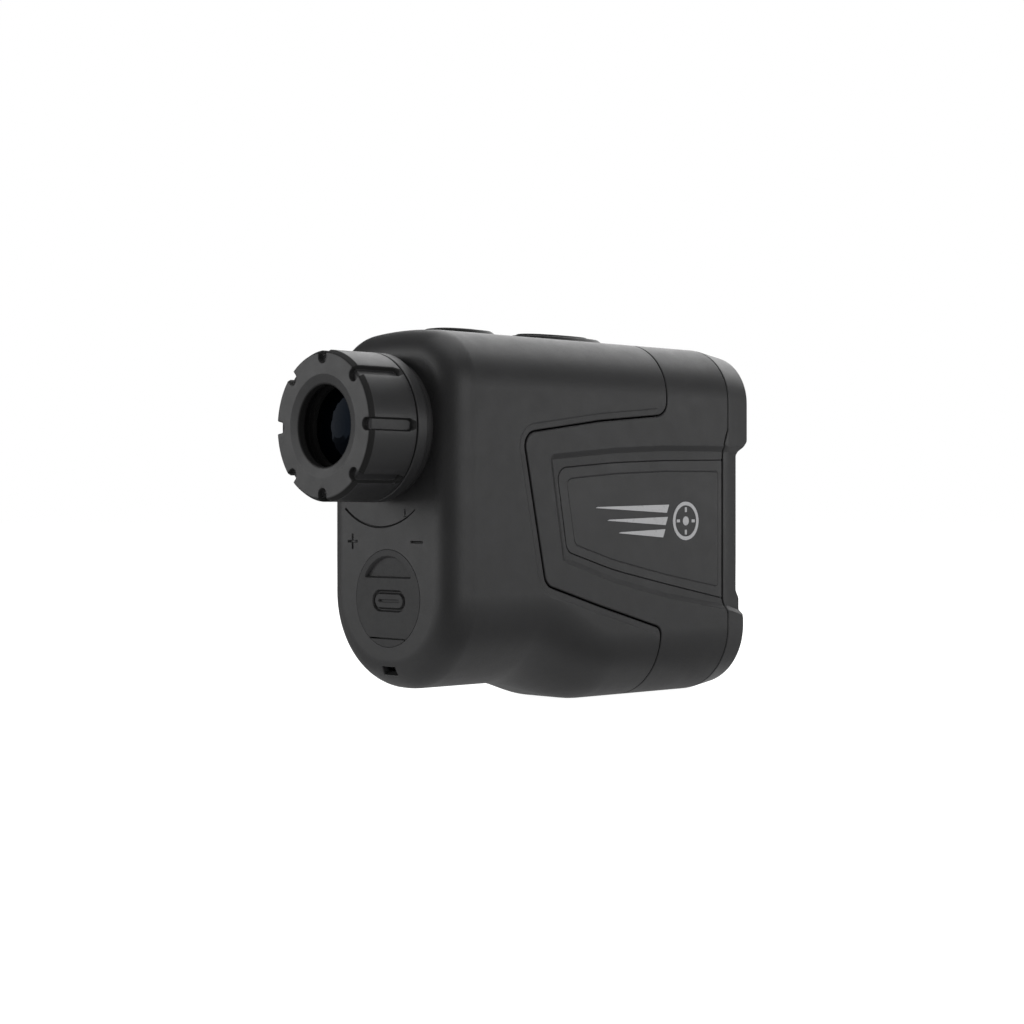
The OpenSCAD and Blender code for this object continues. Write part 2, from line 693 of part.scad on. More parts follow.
module usb_board() color(BOARD) {
    low = usb_z - usb_size[1] / 2;
    block([-7, rear_y + 3.6, low - usb_board_t], [7, -21, low]);
}

// ---- Fasteners ----

module housing_screws() color(METAL) {
    head_y = bulkhead_y + bulkhead_t;
    for (s = SCREWS) difference() {
        union() {
            rod(screw_r, screw_tip_y, head_y, s[0], s[1]);
            rod(screw_head_r, head_y, head_y + 1.2, s[0], s[1]);
        }
        translate([s[0], head_y + 0.5, s[1]]) rotate([-90, 0, 0]) cylinder(r = 0.9, h = 2, $fn = 6);
    }
}
module board_screws() color(METAL) {
    x = main_board_x + board_t;
    for (p = BOARD_POSTS) translate([x, p[0], p[1]]) rotate([0, 90, 0]) {
        cylinder(r = 1.5, h = 0.8);
        translate([0, 0, -3.6]) cylinder(r = 0.75, h = 3.6);
    }
    for (side = [-1, 1]) translate([side * button_post_x, button_post_y, button_board_z]) {
        translate([0, 0, -0.8]) cylinder(r = 1.4, h = 0.8);
        cylinder(r = 0.75, h = 3);
    }
}

rear_housing();
front_housing();
front_bezel();
right_side_plate();
left_side_plate();
port_cover();
port_cover_anchor();
eyepiece_collar();
collar_seal();
collar_nut();
diopter_ring();
ocular_cell();
eye_lens();
ocular_retaining_ring();
ocular_spacer();
field_lens();
field_retaining_ring();
focus_pin();
objective_barrel();
objective_lens();
objective_retaining_ring();
objective_gasket();
prism_cage();
half_prism();
roof_prism();
display_panel();
display_frame();
laser_barrel();
laser_lens();
laser_retaining_ring();
laser_diode();
laser_board();
receiver_sensor();
receiver_board();
receiver_shield();
main_board();
board_components();
battery();
battery_tray();
battery_pad();
battery_leads();
power_button();
power_button_rim();
mode_button();
mode_button_rim();
button_board();
button_switches();
usb_socket();
usb_board();
lanyard_pin();
housing_screws();
board_screws();
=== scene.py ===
"""Compact handheld laser speed meter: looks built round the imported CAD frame.

Lengths in this file are millimetres unless a name ends in _M; objects are made in metres.
Frame: +Z up, +Y towards the target, +X to the user's right.
"""

import json
import math

import bmesh
import bpy
import numpy as np
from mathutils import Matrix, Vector
from mathutils.geometry import delaunay_2d_cdt


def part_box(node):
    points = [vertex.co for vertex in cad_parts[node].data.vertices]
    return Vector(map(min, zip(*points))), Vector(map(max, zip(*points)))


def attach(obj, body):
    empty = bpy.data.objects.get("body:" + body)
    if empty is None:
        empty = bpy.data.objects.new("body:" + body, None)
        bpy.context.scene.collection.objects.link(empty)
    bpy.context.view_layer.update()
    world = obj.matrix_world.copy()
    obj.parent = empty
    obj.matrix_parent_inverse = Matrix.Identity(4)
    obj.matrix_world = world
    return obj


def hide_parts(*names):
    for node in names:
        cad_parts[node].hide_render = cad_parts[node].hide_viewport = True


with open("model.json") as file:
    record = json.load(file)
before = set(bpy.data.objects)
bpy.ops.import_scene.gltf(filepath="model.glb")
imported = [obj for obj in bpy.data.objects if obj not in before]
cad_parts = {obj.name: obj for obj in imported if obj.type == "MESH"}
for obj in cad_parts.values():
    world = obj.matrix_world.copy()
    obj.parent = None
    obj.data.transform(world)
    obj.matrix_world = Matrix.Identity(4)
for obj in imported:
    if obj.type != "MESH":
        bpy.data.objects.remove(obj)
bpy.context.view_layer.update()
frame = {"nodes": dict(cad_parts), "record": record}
nodes = frame["nodes"]
MM = 0.001


def span(node):
    """Lowest and highest corners of a CAD node, in millimetres."""
    low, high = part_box(node)
    return np.array(low) / MM, np.array(high) / MM


# ---- Driving dimensions, from the frame and from the moulding ----

body_low, body_high = span("rear_housing")
bezel_high = span("front_bezel")[1]
ring_low, ring_high = span("diopter_ring")
collar_low, collar_high = span("eyepiece_collar")
cover_low, cover_high = span("port_cover")
anchor_high = span("port_cover_anchor")[1]

HALF_W = body_high[0]
BODY_TOP = body_high[2]
REAR_Y = body_low[1]
FRONT_Y = bezel_high[1]
TOP_R = 12.0
CROWN_R = 89.0
LOWER_R_FRONT = 14.5
LOWER_R_REAR = 19.0
GRIP_RISE = 4.1
GRIP_BACK_Y = -12.0
GRIP_FRONT_Y = 10.0
EDGE_R = 6.0
FRONT_TAPER = 1.2
WALL = 1.8
BEZEL_Y = 44.6
BEZEL_RECESS_Y = 43.4
RECESS_DEPTH = 0.6
POCKET_DEPTH = 1.15

# ---- Small 2-D tools ----


def smooth(t):
    t = np.clip(t, 0.0, 1.0)
    return t * t * (3 - 2 * t)


def arc(centre, r, start, end, steps):
    a = np.radians(np.linspace(start, end, steps + 1))
    return np.stack([centre[0] + r * np.cos(a), centre[1] + r * np.sin(a)], 1)


def rounded(corners, steps=8):
    """Outline through corners given as (a, b) or (a, b, radius)."""
    out = []
    count = len(corners)
    for i, corner in enumerate(corners):
        b = np.array(corner[:2], float)
        if len(corner) < 3:
            out.append(b)
            continue
        u = np.array(corners[i - 1][:2], float) - b
        v = np.array(corners[(i + 1) % count][:2], float) - b
        u, v = u / np.linalg.norm(u), v / np.linalg.norm(v)
        half = math.acos(float(u @ v)) / 2
        mid = (u + v) / np.linalg.norm(u + v)
        c = b + mid * corner[2] / math.sin(half)
        s = b + u * corner[2] / math.tan(half) - c
        e = b + v * corner[2] / math.tan(half) - c
        start = math.degrees(math.atan2(s[1], s[0]))
        sweep = math.degrees(math.atan2(s[0] * e[1] - s[1] * e[0], float(s @ e)))
        out += list(arc(c, corner[2], start, start + sweep, steps))
    return np.array(out)


def resample(line, step, closed=False):
    """Points along a polyline no further apart than step, its own points kept."""
    out = []
    pts = list(line) + ([line[0]] if closed else [])
    for a, b in zip(pts[:-1], pts[1:]):
        n = max(1, int(math.ceil(np.linalg.norm(b - a) / step)))
        out += [a + (b - a) * k / n for k in range(n)]
    if not closed:
        out.append(pts[-1])
    return np.array(out)


def offset(line, d, closed=False):
    """Polyline moved d to its left."""
    p = np.asarray(line, float)
    if closed:
        before, after = p - np.roll(p, 1, 0), np.roll(p, -1, 0) - p
    else:
        seg = np.diff(p, axis=0)
        before, after = np.vstack([seg[:1], seg]), np.vstack([seg, seg[-1:]])
    before = before / np.linalg.norm(before, axis=1)[:, None]
    after = after / np.linalg.norm(after, axis=1)[:, None]
    n = np.stack([-(before + after)[:, 1], (before + after)[:, 0]], 1)
    n = n / np.linalg.norm(n, axis=1)[:, None]
    cos_half = (n * np.stack([-after[:, 1], after[:, 0]], 1)).sum(1)
    return p + n * (d / np.maximum(cos_half, 0.5))[:, None]


def distance(points, line, closed=False):
    """Distance from each point to a polyline."""
    p = np.asarray(points, float)
    a = np.asarray(line, float)
    b = np.roll(a, -1, 0) if closed else a[1:]
    a = a if closed else a[:-1]
    best = np.full(len(p), 1e9)
    for s, e in zip(a, b):
        d = e - s
        t = np.clip(((p - s) @ d) / max(float(d @ d), 1e-12), 0, 1)
        best = np.minimum(best, np.linalg.norm(p - (s + t[:, None] * d), axis=1))
    return best


def inside(points, loop):
    """Even-odd test of points against a closed outline."""
    p = np.asarray(points, float)
    result = np.zeros(len(p), bool)
    a = np.asarray(loop, float)
    for s, e in zip(a, np.roll(a, -1, 0)):
        crosses = (s[1] > p[:, 1]) != (e[1] > p[:, 1])
        with np.errstate(divide="ignore", invalid="ignore"):
            x = (e[0] - s[0]) * (p[:, 1] - s[1]) / (e[1] - s[1]) + s[0]
        result ^= crosses & (p[:, 0] < x)
    return result


def signed(points, loop):
    """Distance to a closed outline, positive inside it."""
    d = distance(points, loop, closed=True)
    return np.where(inside(points, loop), d, -d)


def among(points, marks):
    """True for each point that is one of the marks."""
    keys = {tuple(np.round(m, 5)) for m in marks}
    return np.array([tuple(np.round(p, 5)) in keys for p in points])


def triangulate(loops, lines, lattice, clear=0.35):
    """Triangles that fill the first loop less the others, with every line kept as edges."""
    verts, edges = [], []
    for pts, closed in [(loop, True) for loop in loops] + list(lines):
        base, n = len(verts), len(pts)
        verts += [tuple(p) for p in pts]
        edges += [(base + k, base + (k + 1) % n) for k in range(n if closed else n - 1)]
    marks = np.array(verts)
    lattice = np.asarray(lattice, float)
    keep = inside(lattice, loops[0])
    for hole in loops[1:]:
        keep &= ~inside(lattice, hole)
    lattice = lattice[keep]
    near = np.ones(len(lattice), bool)
    for pts, closed in [(loop, True) for loop in loops] + list(lines):
        near &= distance(lattice, pts, closed) > clear
    verts += [tuple(p) for p in lattice[near]]
    out, _, tris, origin, *_ = delaunay_2d_cdt([Vector(v) for v in verts], edges, [], 0, 1e-5)
    out = np.array([verts[o[0]] if o else tuple(v) for v, o in zip(out, origin)])
    tris = np.array([t for t in tris if len(t) == 3])
    mid = out[tris].mean(1)
    ok = inside(mid, loops[0])
    for hole in loops[1:]:
        ok &= ~inside(mid, hole)
    tris = tris[ok]
    # Slivers that only join neighbours along an outline would leave pinholes when rolled
    edge_count = sum(len(loop) for loop in loops)
    on_edge = among(out, marks[:edge_count])
    a, b, c = out[tris[:, 0]], out[tris[:, 1]], out[tris[:, 2]]
    twice = np.abs((b[:, 0] - a[:, 0]) * (c[:, 1] - a[:, 1]) - (b[:, 1] - a[:, 1]) * (c[:, 0] - a[:, 0]))
    longest = np.max([np.linalg.norm(b - a, axis=1), np.linalg.norm(c - b, axis=1),
                      np.linalg.norm(a - c, axis=1)], axis=0)
    flat = (twice / longest < 2e-3) & on_edge[tris].all(1)
    tris = tris[~flat]
    used = np.unique(tris)
    index = np.full(len(out), -1)
    index[used] = np.arange(len(used))
    return out[used], index[tris]


def boundary_chains(tris, skip):
    """Ordered vertex chains round the free edges, leaving out edges that skip(a, b) says."""
    seen = {}
    for t in tris:
        for a, b in ((t[0], t[1]), (t[1], t[2]), (t[2], t[0])):
            seen[(a, b)] = True
    follow = {a: b for a, b in seen if (b, a) not in seen and not skip(a, b)}
    starts = [a for a in follow if a not in set(follow.values())]
    chains = []
    while follow:
        start = starts.pop() if starts else next(iter(follow))
        chain = [start]
        while chain[-1] in follow:
            chain.append(follow.pop(chain[-1]))
            if chain[-1] == start:
                break
        chains.append(chain)
    return chains


class Skin:
    """Gathers vertices, their normals and faces, then welds them into one object."""

    def __init__(self):
        self.points, self.normals, self.faces = [], [], []

    def add(self, points, normals):
        base = len(self.points)
        self.points += [np.array(p, float) for p in points]
        self.normals += [np.array(n, float) for n in normals]
        return list(range(base, base + len(points)))

    def strip(self, a, b):
        """Quads between two chains of the same length."""
        for k in range(len(a) - 1):
            self.faces.append((a[k], a[k + 1], b[k + 1], b[k]))

    def roll(self, chain, r, depth, steps=4, closed=None, mirror=False, toward=None, plain=None):
        """Rolls a free edge over by radius r, then runs down by depth. Returns the last ring.

        toward fixes the direction of the roll, and plain the normals it turns away from.
        """
        closed = chain[0] == chain[-1] if closed is None else closed
        ring = chain[:-1] if closed else chain
        p = np.array([self.points[i] for i in ring])
        n = np.array([self.normals[i] for i in ring]) if plain is None else plain
        if closed:
            along = np.roll(p, -1, 0) - np.roll(p, 1, 0)
        else:
            flip = np.array([-1.0, 1, 1])
            first = p[1] * flip if mirror else 2 * p[0] - p[1]
            last = p[-2] * flip if mirror else 2 * p[-1] - p[-2]
            full = np.vstack([first, p, last])
            along = full[2:] - full[:-2]
        along /= np.linalg.norm(along, axis=1)[:, None]
        out = np.cross(along, n)
        out /= np.linalg.norm(out, axis=1)[:, None]
        if toward is not None:
            out = np.tile(np.array(toward, float), (len(p), 1))
        previous = list(chain)
        for k in range(1, steps + 1):
            a = math.pi / 2 * k / steps
            ring_p = p + out * r * math.sin(a) - n * r * (1 - math.cos(a))
            now = self.add(ring_p, out * math.sin(a) + n * math.cos(a))
            now = now + [now[0]] if closed else now
            self.strip(now, previous)
            previous = now
        if depth > r:
            now = self.add(p + out * r - n * depth, out)
            now = now + [now[0]] if closed else now
            self.strip(now, previous)
            previous = now
        return previous

    def mirrored(self):
        """Adds the copy on the other side of the X = 0 plane."""
        base = len(self.points)
        flip = np.array([-1.0, 1, 1])
        self.points += [p * flip for p in self.points]
        self.normals += [n * flip for n in self.normals]
        self.faces += [tuple(base + i for i in reversed(f)) for f in list(self.faces)]

    def weld(self):
        keys, index = {}, []
        points, normals = [], []
        for p, n in zip(self.points, self.normals):
            key = tuple(np.round(p, 3) + 0.0)
            if key not in keys:
                keys[key] = len(points)
                points.append(p)
                normals.append(n.copy())
            else:
                normals[keys[key]] += n
            index.append(keys[key])
        faces = []
        for f in self.faces:
            g = [index[i] for i in f]
            g = [i for k, i in enumerate(g) if i != g[k - 1]]
            if len(set(g)) > 2 and len(set(g)) == len(g):
                faces.append(tuple(g))
        return points, normals, faces

    def object(self, name, body):
        points, normals, faces = self.weld()
        mesh = bpy.data.meshes.new(name)
        mesh.from_pydata([tuple(p * MM) for p in points], [], faces)
        form = bmesh.new()
        form.from_mesh(mesh)
        bmesh.ops.recalc_face_normals(form, faces=form.faces)
        form.to_mesh(mesh)
        form.free()
        mesh.polygons.foreach_set("use_smooth", [True] * len(mesh.polygons))
        auto = np.array([tuple(v.normal) for v in mesh.vertices])
        custom = np.array([n if n @ n > 1e-9 else a for n, a in zip(normals, auto)])
        custom[(custom ** 2).sum(1) < 1e-9] = [0, 0, 1]
        custom[(custom * auto).sum(1) < -0.2] *= -1
        custom /= np.linalg.norm(custom, axis=1)[:, None]
        mesh.normals_split_custom_set_from_vertices([tuple(n) for n in custom])
        piece = bpy.data.objects.new(name, mesh)
        bpy.context.scene.collection.objects.link(piece)
        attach(piece, body)
        return piece


# ---- The body's outer surface ----

CORNER_Z = BODY_TOP - CROWN_R + math.sqrt((CROWN_R - TOP_R) ** 2 - (HALF_W - TOP_R) ** 2)
TURN = math.atan2(CORNER_Z - BODY_TOP + CROWN_R, HALF_W - TOP_R)
# Lengths round half the front section: floor, lower corner, side, upper corner, crown
FLOOR_Q = HALF_W - LOWER_R_FRONT
LOWER_Q = FLOOR_Q + LOWER_R_FRONT * math.pi / 2
SIDE_Q = LOWER_Q + CORNER_Z - LOWER_R_FRONT
UPPER_Q = SIDE_Q + TOP_R * TURN
TOP_Q = UPPER_Q + CROWN_R * (math.pi / 2 - TURN)
Q_STOPS = np.array([0, FLOOR_Q, LOWER_Q, SIDE_Q, UPPER_Q, TOP_Q])
EDGE_T = EDGE_R * math.pi / 2


def belly(y):
    return smooth((y - GRIP_BACK_Y) / (GRIP_FRONT_Y - GRIP_BACK_Y))


def t_of_y(y):
    return np.asarray(y, float) - REAR_Y - EDGE_R + EDGE_T


def y_of_t(t):
    return np.asarray(t, float) - EDGE_T + REAR_Y + EDGE_R


def side_span(y):
    """Heights between which the body's side is flat, at station y."""
    low = GRIP_RISE * (1 - belly(y)) + LOWER_R_REAR + (LOWER_R_FRONT - LOWER_R_REAR) * belly(y)
    return low, CORNER_Z


def q_of_z(y, z):
    """Place round the section of a point at height z on the flat side."""
    low, high = side_span(np.asarray(y, float))
    return LOWER_Q + (z - low) / (high - low) * (SIDE_Q - LOWER_Q)


def on_body(p, h):
    """Points of the body surface at domain points (t, q), sunk by h along the normal."""
    t, q = p[:, 0], p[:, 1]
    h = np.broadcast_to(h, t.shape)
    a = np.clip(t / EDGE_R, 0, math.pi / 2)
    in_edge = t < EDGE_T
    y = np.where(in_edge, REAR_Y + EDGE_R - (EDGE_R - h) * np.cos(a), y_of_t(t))
    taper = FRONT_TAPER / (FRONT_Y - BEZEL_Y)
    d = np.where(in_edge, EDGE_R - (EDGE_R - h) * np.sin(a), h + np.maximum(y - BEZEL_Y, 0) * taper)
    rise = belly(y)
    floor = GRIP_RISE * (1 - rise) + d
    rb = LOWER_R_REAR + (LOWER_R_FRONT - LOWER_R_REAR) * rise - d
    w, rt, rc = HALF_W - d, TOP_R - d, CROWN_R - d
    k = np.clip(np.searchsorted(Q_STOPS, q, side="right") - 1, 0, 4)
    f = (q - Q_STOPS[k]) / (Q_STOPS[k + 1] - Q_STOPS[k])
    low_a = (f - 1) * math.pi / 2
    top_a = f * TURN
    crown_a = TURN + f * (math.pi / 2 - TURN)
    x = np.choose(k, [f * (w - rb), w - rb + rb * np.cos(low_a), w,
                      w - rt + rt * np.cos(top_a), rc * np.cos(crown_a)])
    z = np.choose(k, [floor, floor + rb + rb * np.sin(low_a), floor + rb + f * (CORNER_Z - floor - rb),
                      CORNER_Z + rt * np.sin(top_a), BODY_TOP - CROWN_R + rc * np.sin(crown_a)])
    return np.stack([x, y, z], 1)


def normals_of(place, depth, p, eps=0.02):
    """Unit normals of place(p, depth(p)) by central differences."""
    du, dv = np.array([eps, 0]), np.array([0, eps])
    a = place(p + du, depth(p + du)) - place(p - du, depth(p - du))
    b = place(p + dv, depth(p + dv)) - place(p - dv, depth(p - dv))
    n = np.cross(a, b)
    size = np.linalg.norm(n, axis=1)[:, None]
    return np.where(size > 1e-9, n / np.maximum(size, 1e-9), 0)


def lattice(us, vs):
    u, v = np.meshgrid(us, vs, indexing="ij")
    return np.stack([u.ravel(), v.ravel()], 1)


def body_lattice(y_start, y_end, step=1.6):
    """Rows and columns that follow the body's curvature."""
    edge = np.linspace(0, EDGE_T, 15)[1:]
    ts = np.concatenate([edge, t_of_y(np.arange(REAR_Y + EDGE_R + step, FRONT_Y + 1, step))])
    ts = ts[(ts > t_of_y(y_start)) & (ts < t_of_y(y_end))]
    counts = [4, 26, 28, 18, 6]
    qs = np.concatenate([np.linspace(a, b, n, endpoint=False)
                         for a, b, n in zip(Q_STOPS[:-1], Q_STOPS[1:], counts)] + [[TOP_Q]])
    return lattice(ts, qs[1:-1])


def body_patch(skin, loops, lines, depth, y_start, y_end, wall=WALL):
    """Adds the outer face of half a shell to skin; returns its vertex numbers and domain points."""
    p, tris = triangulate(loops, lines, body_lattice(y_start, y_end))
    outer = on_body(p, depth(p))
    normal = normals_of(on_body, depth, p)
    centre = np.abs(outer[:, 0]) < 1e-3
    outer[centre, 0] = 0
    normal[centre, 0] = 0
    ids = skin.add(outer, normal)
    area = np.cross(outer[tris[:, 1]] - outer[tris[:, 0]], outer[tris[:, 2]] - outer[tris[:, 0]])
    if (area * normal[tris[:, 0]]).sum() < 0:
        tris = tris[:, ::-1]
    skin.faces += [tuple(ids[i] for i in t) for t in tris]
    inner = on_body(p, np.full(len(p), wall))
    inner[centre, 0] = 0
    inner_ids = skin.add(inner, np.zeros_like(inner))
    skin.faces += [tuple(inner_ids[i] for i in reversed(t)) for t in tris]
    return ids, inner_ids, p, tris


def close_edges(skin, ids, inner_ids, tris, points, r, skip=None):
    """Rolls each free edge of a patch over and joins it to the patch's inner face."""
    x = points[:, 0]

    def leave(a, b):
        return (abs(x[a]) < 1e-6 and abs(x[b]) < 1e-6) or (skip is not None and skip(a, b))

    for chain in boundary_chains(tris, leave):
        outer = [ids[i] for i in chain]
        last = skin.roll(outer, r, WALL * 0.8, mirror=True)
        skin.strip([inner_ids[i] for i in chain], last)


def ramp(x, width, r):
    """Climbs from 0 to 1 over width, with both bends rounded over r."""
    foot = (x + r) ** 2 / (4 * r)
    head = width - (width + r - x) ** 2 / (4 * r)
    y = np.where(x < -r, 0, np.where(x < r, foot, np.where(x < width - r, x, head)))
    return np.where(x > width + r, width, y) / width


# ---- Outlines seen from the side, as (y, z) ----

GAP = 0.15
ROLL = 0.25
SEAM = rounded([(24.9, 80), (24.6, 59.8, 3.2), (4.1, 57.9, 60), (-17.6, 54.9, 3), (-11.3, 24.7, 3),
                (4.1, 20.1, 60), (22.8, 14.9, 2), (23.1, -5)])[1:-1]
RECESS = rounded([(70, 53.9), (44.2, 53.6), (24.2, 53.3, 90), (8.9, 52.5, 90), (-10.3, 50.8, 1.3),
                  (-6.5, 29.3, 1.3), (8.9, 24.6, 90), (24.2, 21.2, 90), (44.2, 18.0), (70, 12)])
PLATE = rounded([(60, 50.8), (BEZEL_RECESS_Y, 50.7), (24.2, 50.3, 90), (8.9, 49.6, 90),
                 (-7.9, 48.2, 2.6), (-4.9, 31.2, 2.6), (8.9, 27.2, 90), (24.2, 24.1, 90),
                 (BEZEL_RECESS_Y, 20.4), (60, 17.2)])
BEZEL_SEAM = rounded([(BEZEL_Y, -5), (BEZEL_Y, 17.2, 1), (BEZEL_RECESS_Y, 20, 1),
                      (BEZEL_RECESS_Y, 54.4, 1), (BEZEL_Y, 57.6, 1), (BEZEL_Y, 80)])[1:-1]
BEVEL_W = 1.05
BEVEL_R = 0.12


def yz_of(p):
    """Side view place of domain points on the body's flat side."""
    y = y_of_t(p[:, 0])
    low, high = side_span(y)
    return np.stack([y, low + (p[:, 1] - LOWER_Q) / (SIDE_Q - LOWER_Q) * (high - low)], 1)


def domain_of(line):
    line = np.asarray(line, float)
    return np.stack([t_of_y(line[:, 0]), q_of_z(line[:, 0], line[:, 1])], 1)


def closed_to_centre(line, top_y, bottom_y, step=0.8):
    """Side outline carried on over the crown and under the floor to the middle plane."""
    mid = domain_of(resample(line, step))
    top = np.array([[t_of_y(top_y), TOP_Q]])
    bottom = np.array([[t_of_y(bottom_y), 0.0]])
    if mid[0][1] < mid[-1][1]:
        top, bottom = bottom, top
    head = resample([top[0], mid[0]], step)[:-1]
    tail = resample([mid[-1], bottom[0]], step)[1:]
    return np.vstack([head, mid, tail])


def housing_seam(d):
    """The main seam in the domain, from the crown down, moved d towards the front."""
    line = offset(SEAM, d)
    return closed_to_centre(line, 24.9 + d, 23.05 + d)


def bezel_seam(d):
    """The bezel seam in the domain, from the floor up, moved d towards the front."""
    line = offset(BEZEL_SEAM, -d)
    return closed_to_centre(line, BEZEL_Y + d, BEZEL_Y + d)


def within(line, y_low, y_high):
    keep = (line[:, 0] > y_low) & (line[:, 0] < y_high)
    return line[keep]


def recess_depth(p):
    """Depth of the side recess below the flat side, at domain points."""
    return RECESS_DEPTH * ramp(signed(yz_of(p), RECESS), BEVEL_W, BEVEL_R)


# ---- Rear housing ----

BAND_W = 1.4
BAND_STEP = 0.12
BAND_EDGE = 0.3
KEY_FLANGE = 1.0
KEY_GAP = 0.35
# The lanyard slot, cut in the rounded rear edge: half width, and start and end round the edge
LANYARD_HALF = 2.2
LANYARD_ANGLES = (35, 12)
LANYARD_CORNER = 0.3
POWER_BOX = span("power_button")
MODE_BOX = span("mode_button")


def key_size(box):
    """Centre along Y and half width and half length of a button cap, without its hidden flange."""
    low, high = box
    return (low[1] + high[1]) / 2, high[0] - KEY_FLANGE, (high[1] - low[1]) / 2 - KEY_FLANGE


def crown_q(x):
    """Domain q of a point of the crown at distance x from the middle."""
    a = math.pi / 2 - np.arcsin(np.asarray(x, float) / CROWN_R)
    f = (a - TURN) / (math.pi / 2 - TURN)
    return UPPER_Q + f * (TOP_Q - UPPER_Q)


def key_notch(box, gap):
    """Half of a button's opening, from its front end to its rear end along the crown."""
    y, half_w, half_l = key_size(box)
    a = np.radians(np.linspace(90, -90, 37))
    ys = y + (half_l + gap) * np.sin(a)
    xs = (half_w + gap) * np.cos(a)
    q = crown_q(xs)
    q[0] = q[-1] = TOP_Q
    return np.stack([t_of_y(ys), q], 1)


def rear_housing():
    skin = Skin()
    edge = GAP + ROLL
    seam = housing_seam(-edge)
    keys = [key_notch(box, KEY_GAP + ROLL) for box in (POWER_BOX, MODE_BOX)]
    slot_q = FLOOR_Q + (LANYARD_HALF - 0.7) / (LOWER_R_REAR - 4) / (math.pi / 2) * (LOWER_Q - FLOOR_Q)
    front_t, rear_t = (EDGE_R * math.radians(a) for a in LANYARD_ANGLES)
    slot = rounded([(front_t, 0), (front_t, slot_q, LANYARD_CORNER), (rear_t, slot_q, LANYARD_CORNER),
                    (rear_t, 0)], 4)
    qs = body_lattice(-60, 60)[:, 1]
    rear = [(0.0, q) for q in np.unique(np.round(qs, 6))]
    loop = np.vstack([
        seam[::-1],                                     # from the floor up to the crown
        keys[0], keys[1],                               # back along the crown
        [(0.0, TOP_Q)], rear[::-1], [(0.0, 0.0)],       # down the rear face's edge
        slot[::-1]])
    loop = resample(loop, 0.7, closed=True)

    def depth(p):
        yz = yz_of(p)
        gap = distance(yz, SEAM)
        fade = smooth((63 - yz[:, 1]) / 1.2) * smooth((yz[:, 1] - 12) / 2) * smooth((24 - yz[:, 0]) / 1.5)
        return BAND_STEP * (1 - ramp(gap - BAND_W, BAND_EDGE, 0.1)) * fade

    lines = []
    for d in (-BAND_W + 0.1, -BAND_W - 0.1, -BAND_W - BAND_EDGE - 0.1):
        line = offset(SEAM, d)
        line = line[(line[:, 1] > 13.2) & (line[:, 1] < 62.4) & (line[:, 0] < 23.4 + d)]
        lines.append((domain_of(resample(line, 0.8)), False))
    ids, inner, p, tris = body_patch(skin, [loop], lines, depth, REAR_Y - 1, 60)
    points = np.array([skin.points[i] for i in ids])
    rear_edge = p[:, 0] < 1e-6
    close_edges(skin, ids, inner, tris, points, ROLL, lambda a, b: rear_edge[a] and rear_edge[b])
    skin.mirrored()
    half = points[rear_edge]
    half = half[np.argsort(p[rear_edge][:, 1])][:, [0, 2]]
    rim = np.vstack([half, half[-2:0:-1] * [-1, 1]])
    rear_face(skin, rim)
    return skin.object("rear_housing_shell", "chassis")


OPTIC_Z = (ring_low[2] + ring_high[2]) / 2
COVER_Z = cover_high[2] - (cover_high[0] - cover_low[0]) / 2
COVER_R = (cover_high[0] - cover_low[0]) / 2
COVER_ROLL = 0.05
NECK_HOLE_R = 12.1
PORT_FLOOR = 1.3
MARK_DEPTH = 0.4
MARK_EDGE = 0.09


def circle(centre, r, count=96, start=0):
    a = np.radians(start + np.arange(count) * 360 / count)
    return np.stack([centre[0] + r * np.cos(a), centre[1] + r * np.sin(a)], 1)


def bar(centre, half_l, half_w):
    x, z = centre
    return rounded([(x - half_l, z - half_w, half_w * 0.9), (x + half_l, z - half_w, half_w * 0.9),
                    (x + half_l, z + half_w, half_w * 0.9), (x - half_l, z + half_w, half_w * 0.9)], 4)


def plus(centre, half_l, half_w):
    x, z = centre
    quarter = [(half_w, -half_l), (half_w, -half_w), (half_l, -half_w), (half_l, half_w)]
    out = []
    for k in range(4):
        c, s = math.cos(math.pi / 2 * k), math.sin(math.pi / 2 * k)
        out += [(x + c * a - s * b, z + s * a + c * b) for a, b in quarter[:3]]
    return np.array(out)


def focus_marks():
    """The plus and minus marks and the tapering arc under the eyepiece, as outlines."""
    mark_x, mark_z = COVER_R + 0.15, COVER_Z + 11.2
    shift = -1.1
    arc_r, arc_x, arc_z = 17.8, -2.4, OPTIC_Z - 2.0
    a = np.radians(np.linspace(232, 307, 48))
    thin = np.linspace(0.5, 0.24, 48)
    ray = np.stack([np.cos(a), np.sin(a)], 1)
    sweep = np.vstack([ray * arc_r, (ray * (arc_r - thin)[:, None])[::-1]]) + [arc_x, arc_z]
    tick = bar((arc_x + 7.6, OPTIC_Z - 16.75), 0.22, 0.75)
    return [plus((shift - mark_x, mark_z), 1.55, 0.25), bar((shift + mark_x, mark_z), 1.85, 0.23),
            sweep, tick]


def fill(outline, spacing, start=0.0):
    """Lattice over the box of an outline."""
    low, high = outline.min(0), outline.max(0)
    return lattice(np.arange(low[0] + start, high[0], spacing), np.arange(low[1] + start, high[1], spacing))


def panel(skin, loops, lines, depth, place, outward, grid, clear, back):
    """Adds a thin panel to skin: an outer face with a height field, and a plain back face."""
    p, tris = triangulate(loops, lines, grid, clear)
    outer = place(p, depth(p))
    normal = normals_of(place, depth, p)
    normal = normal * np.sign((normal * outward).sum(1))[:, None]
    a, b, c = (outer[tris[:, k]] for k in range(3))
    if (np.cross(b - a, c - a) * outward).sum() < 0:
        tris = tris[:, ::-1]
    ids = skin.add(outer, normal)
    skin.faces += [tuple(ids[i] for i in t) for t in tris]
    inner = skin.add(place(p, np.full(len(p), back)), np.zeros_like(outer))
    skin.faces += [tuple(inner[i] for i in reversed(t)) for t in tris]
    return ids, inner, p, tris


